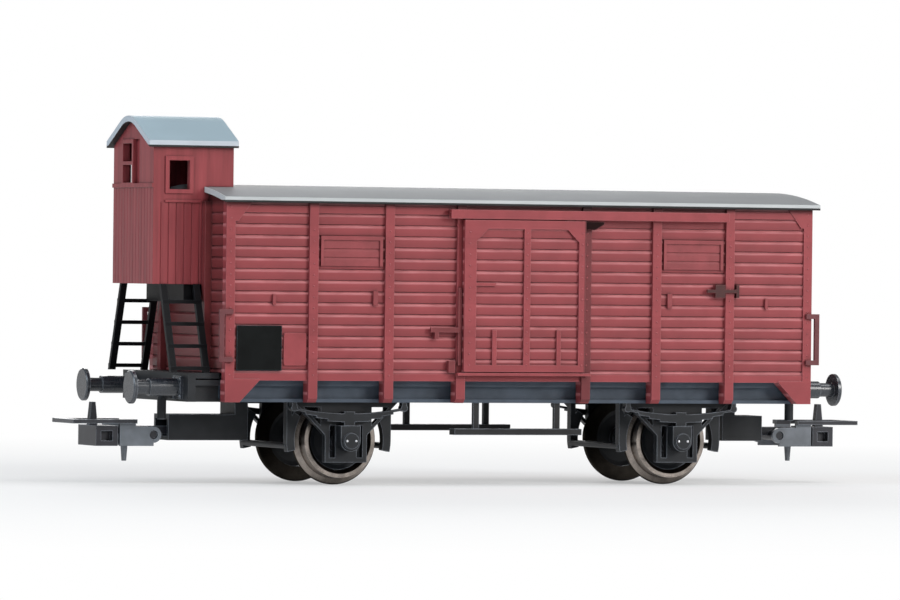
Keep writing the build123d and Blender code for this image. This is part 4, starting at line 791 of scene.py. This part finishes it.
# The plain note plate on the near wall: along from the body's middle, its heights, and its outline
NOTE_X = (-36.8, -33.3)
NOTE_Z = (17.1, 21.8)
NOTE_THICK = 0.22
NOTE_EDGE = 0.08
NOTE_SIDES = 64
NOTE_POWER = 0.15


def squared(wave):
    """A cosine or sine drawn towards -1 and 1 by raising its size to a small power."""
    return np.sign(wave) * np.abs(wave) ** NOTE_POWER


def note_plate(finishes):
    """A thin plate. Its outline is a squared-off ellipse: cosine and sine of the angle, each to a small
    power, times half the width and height. It is carried out from the wall, and drawn in by its edge at
    the front."""
    angle = np.linspace(0, 2 * np.pi, NOTE_SIDES, endpoint=False)
    inset = np.array((NOTE_EDGE, 0.0, 0.0))[:, None]
    depth = np.array((NOTE_THICK, NOTE_THICK - NOTE_EDGE, -HEAD_SINK))[:, None]
    x, z = BODY_X + sum(NOTE_X) / 2, sum(NOTE_Z) / 2
    half_x, half_z = (NOTE_X[1] - NOTE_X[0]) / 2, (NOTE_Z[1] - NOTE_Z[0]) / 2
    rings = np.stack((x + (half_x - inset) * squared(np.cos(angle)),
                      np.broadcast_to(-BOARD_FACE - depth, (len(depth), NOTE_SIDES)),
                      z + (half_z - inset) * squared(np.sin(angle))), axis=2)
    shape = closed(rings, (x, -BOARD_FACE - NOTE_THICK, z), (x, -BOARD_FACE + HEAD_SINK, z))
    put("note_plate", shape, finishes["body_red"], "wagon")


# Light: the white surround's strength for diffuse and for glossy rays, and the lamps
SURROUND_DIFFUSE = 0.15
SURROUND_GLOSSY = 0.28
LAMP_AIM = (0, 0, 25)
LAMPS = (
    # name, place, size, watts, colour
    ("key_softbox", (345, -512, 250), 240, 2.0, (1.0, 0.985, 0.97)),
    ("front_softbox", (-60, -430, 455), 300, 0.80, (1.0, 1.0, 1.0)),
    ("top_softbox", (220, -60, 580), 260, 1.0, (0.97, 0.985, 1.0)),
    ("end_softbox", (-520, -150, 330), 300, 1.35, (0.76, 0.89, 1.0)),
    ("back_softbox", (120, 560, 190), 320, 1.4, (1.0, 1.0, 1.0)),
)


def surround():
    """A world that is plain white to the camera and lights the wagon softly."""
    world = bpy.data.worlds.new("white_surround")
    bpy.context.scene.world = world
    world.use_nodes = True
    tree = world.node_tree
    background = tree.nodes["Background"]
    background.inputs["Color"].default_value = (1, 1, 1, 1)
    path = tree.nodes.new("ShaderNodeLightPath")
    soft = tree.nodes.new("ShaderNodeMapRange")
    soft.inputs["To Min"].default_value = SURROUND_DIFFUSE
    soft.inputs["To Max"].default_value = SURROUND_GLOSSY
    tree.links.new(path.outputs["Is Glossy Ray"], soft.inputs["Value"])
    seen = tree.nodes.new("ShaderNodeMath")
    seen.operation = "MAXIMUM"
    tree.links.new(path.outputs["Is Camera Ray"], seen.inputs[0])
    tree.links.new(soft.outputs["Result"], seen.inputs[1])
    tree.links.new(seen.outputs["Value"], background.inputs["Strength"])


def lamps():
    """Soft square lamps: a key from the right, one each in front, above and behind, and a cool one at the cab
    end. Each stands at its place with its -Z towards the wagon's middle."""
    for name, place, size, power, colour in LAMPS:
        light = bpy.data.lights.new(name, "AREA")
        light.size = size * MM
        light.energy = power
        light.color = colour
        aim = Vector(LAMP_AIM) - Vector(place)
        lamp = bpy.data.objects.new(name, light)
        turn = aim.to_track_quat("-Z", "Y").to_matrix().to_4x4()
        lamp.matrix_world = Matrix.Translation(Vector(place) * MM) @ turn
        bpy.context.scene.collection.objects.link(lamp)


# Floor: half its side, its paint, its glow near the wagon and the distances over which it turns white
FLOOR_HALF = 6000
FLOOR_WHITE = (0.86, 0.86, 0.86)
FLOOR_ROUGHNESS = 0.9
FLOOR_GLOW = 0.4
FLOOR_FADE = (90, 260)


def floor():
    """A wide white floor that keeps the shadow near the wagon and turns plain white away from it."""
    corners = FLOOR_HALF * MM * np.array(((-1, -1, 0), (1, -1, 0), (1, 1, 0), (-1, 1, 0)))
    mesh = bpy.data.meshes.new("floor")
    mesh.from_pydata(corners.tolist(), [], [(0, 1, 2, 3)])
    plane = bpy.data.objects.new("floor", mesh)
    bpy.context.scene.collection.objects.link(plane)
    shader = Shader("floor_white", FLOOR_WHITE, FLOOR_ROUGHNESS)
    mesh.materials.append(shader.material)
    near, far = (distance * MM for distance in FLOOR_FADE)
    glow = shader.span(shader.measure("LENGTH", shader.place), FLOOR_GLOW, 1.0, near, far)
    path = shader.add("ShaderNodeLightPath").outputs
    seen = path["Is Camera Ray"]
    for ray in ("Is Glossy Ray", "Is Transmission Ray"):
        seen = shader.math("MAXIMUM", seen, path[ray])
    share = shader.math("MULTIPLY", seen, glow)
    white = shader.add("ShaderNodeEmission").outputs["Emission"]
    mix = shader.add("ShaderNodeMixShader", {"Fac": share, 1: shader.surface.outputs["BSDF"], 2: white})
    shader.tree.links.new(mix.outputs["Shader"], shader.tree.nodes["Material Output"].inputs["Surface"])


def camera():
    """A camera turned by yaw, pitch and roll, looking along +Y when all are zero."""
    yaw, pitch, roll = (math.radians(angle) for angle in (CAMERA_YAW, CAMERA_PITCH, CAMERA_ROLL))
    ahead = np.array((math.sin(yaw) * math.cos(pitch), math.cos(yaw) * math.cos(pitch), math.sin(pitch)))
    right = np.array((math.cos(yaw), -math.sin(yaw), 0.0))
    up = np.cross(right, ahead)
    rolled_right = math.cos(roll) * right + math.sin(roll) * up
    rolled_up = math.cos(roll) * up - math.sin(roll) * right
    matrix = np.eye(4)
    matrix[:3, :4] = np.column_stack((rolled_right, rolled_up, -ahead, np.array(CAMERA_AT) * MM))
    lens = bpy.data.cameras.new("camera")
    lens.sensor_width = SENSOR
    lens.lens = CAMERA_LENS
    lens.clip_start, lens.clip_end = CAMERA_CLIP
    view = bpy.data.objects.new("camera", lens)
    view.matrix_world = Matrix(matrix.tolist())
    bpy.context.scene.collection.objects.link(view)
    bpy.context.scene.camera = view


finishes = make_finishes()
paint_nodes(finishes)
rivets(finishes)
buffer_bolts(finishes)
cover_bolts(finishes)
note_plate(finishes)
surround()
lamps()
floor()
camera()
bpy.context.scene.view_settings.view_transform = "Standard"
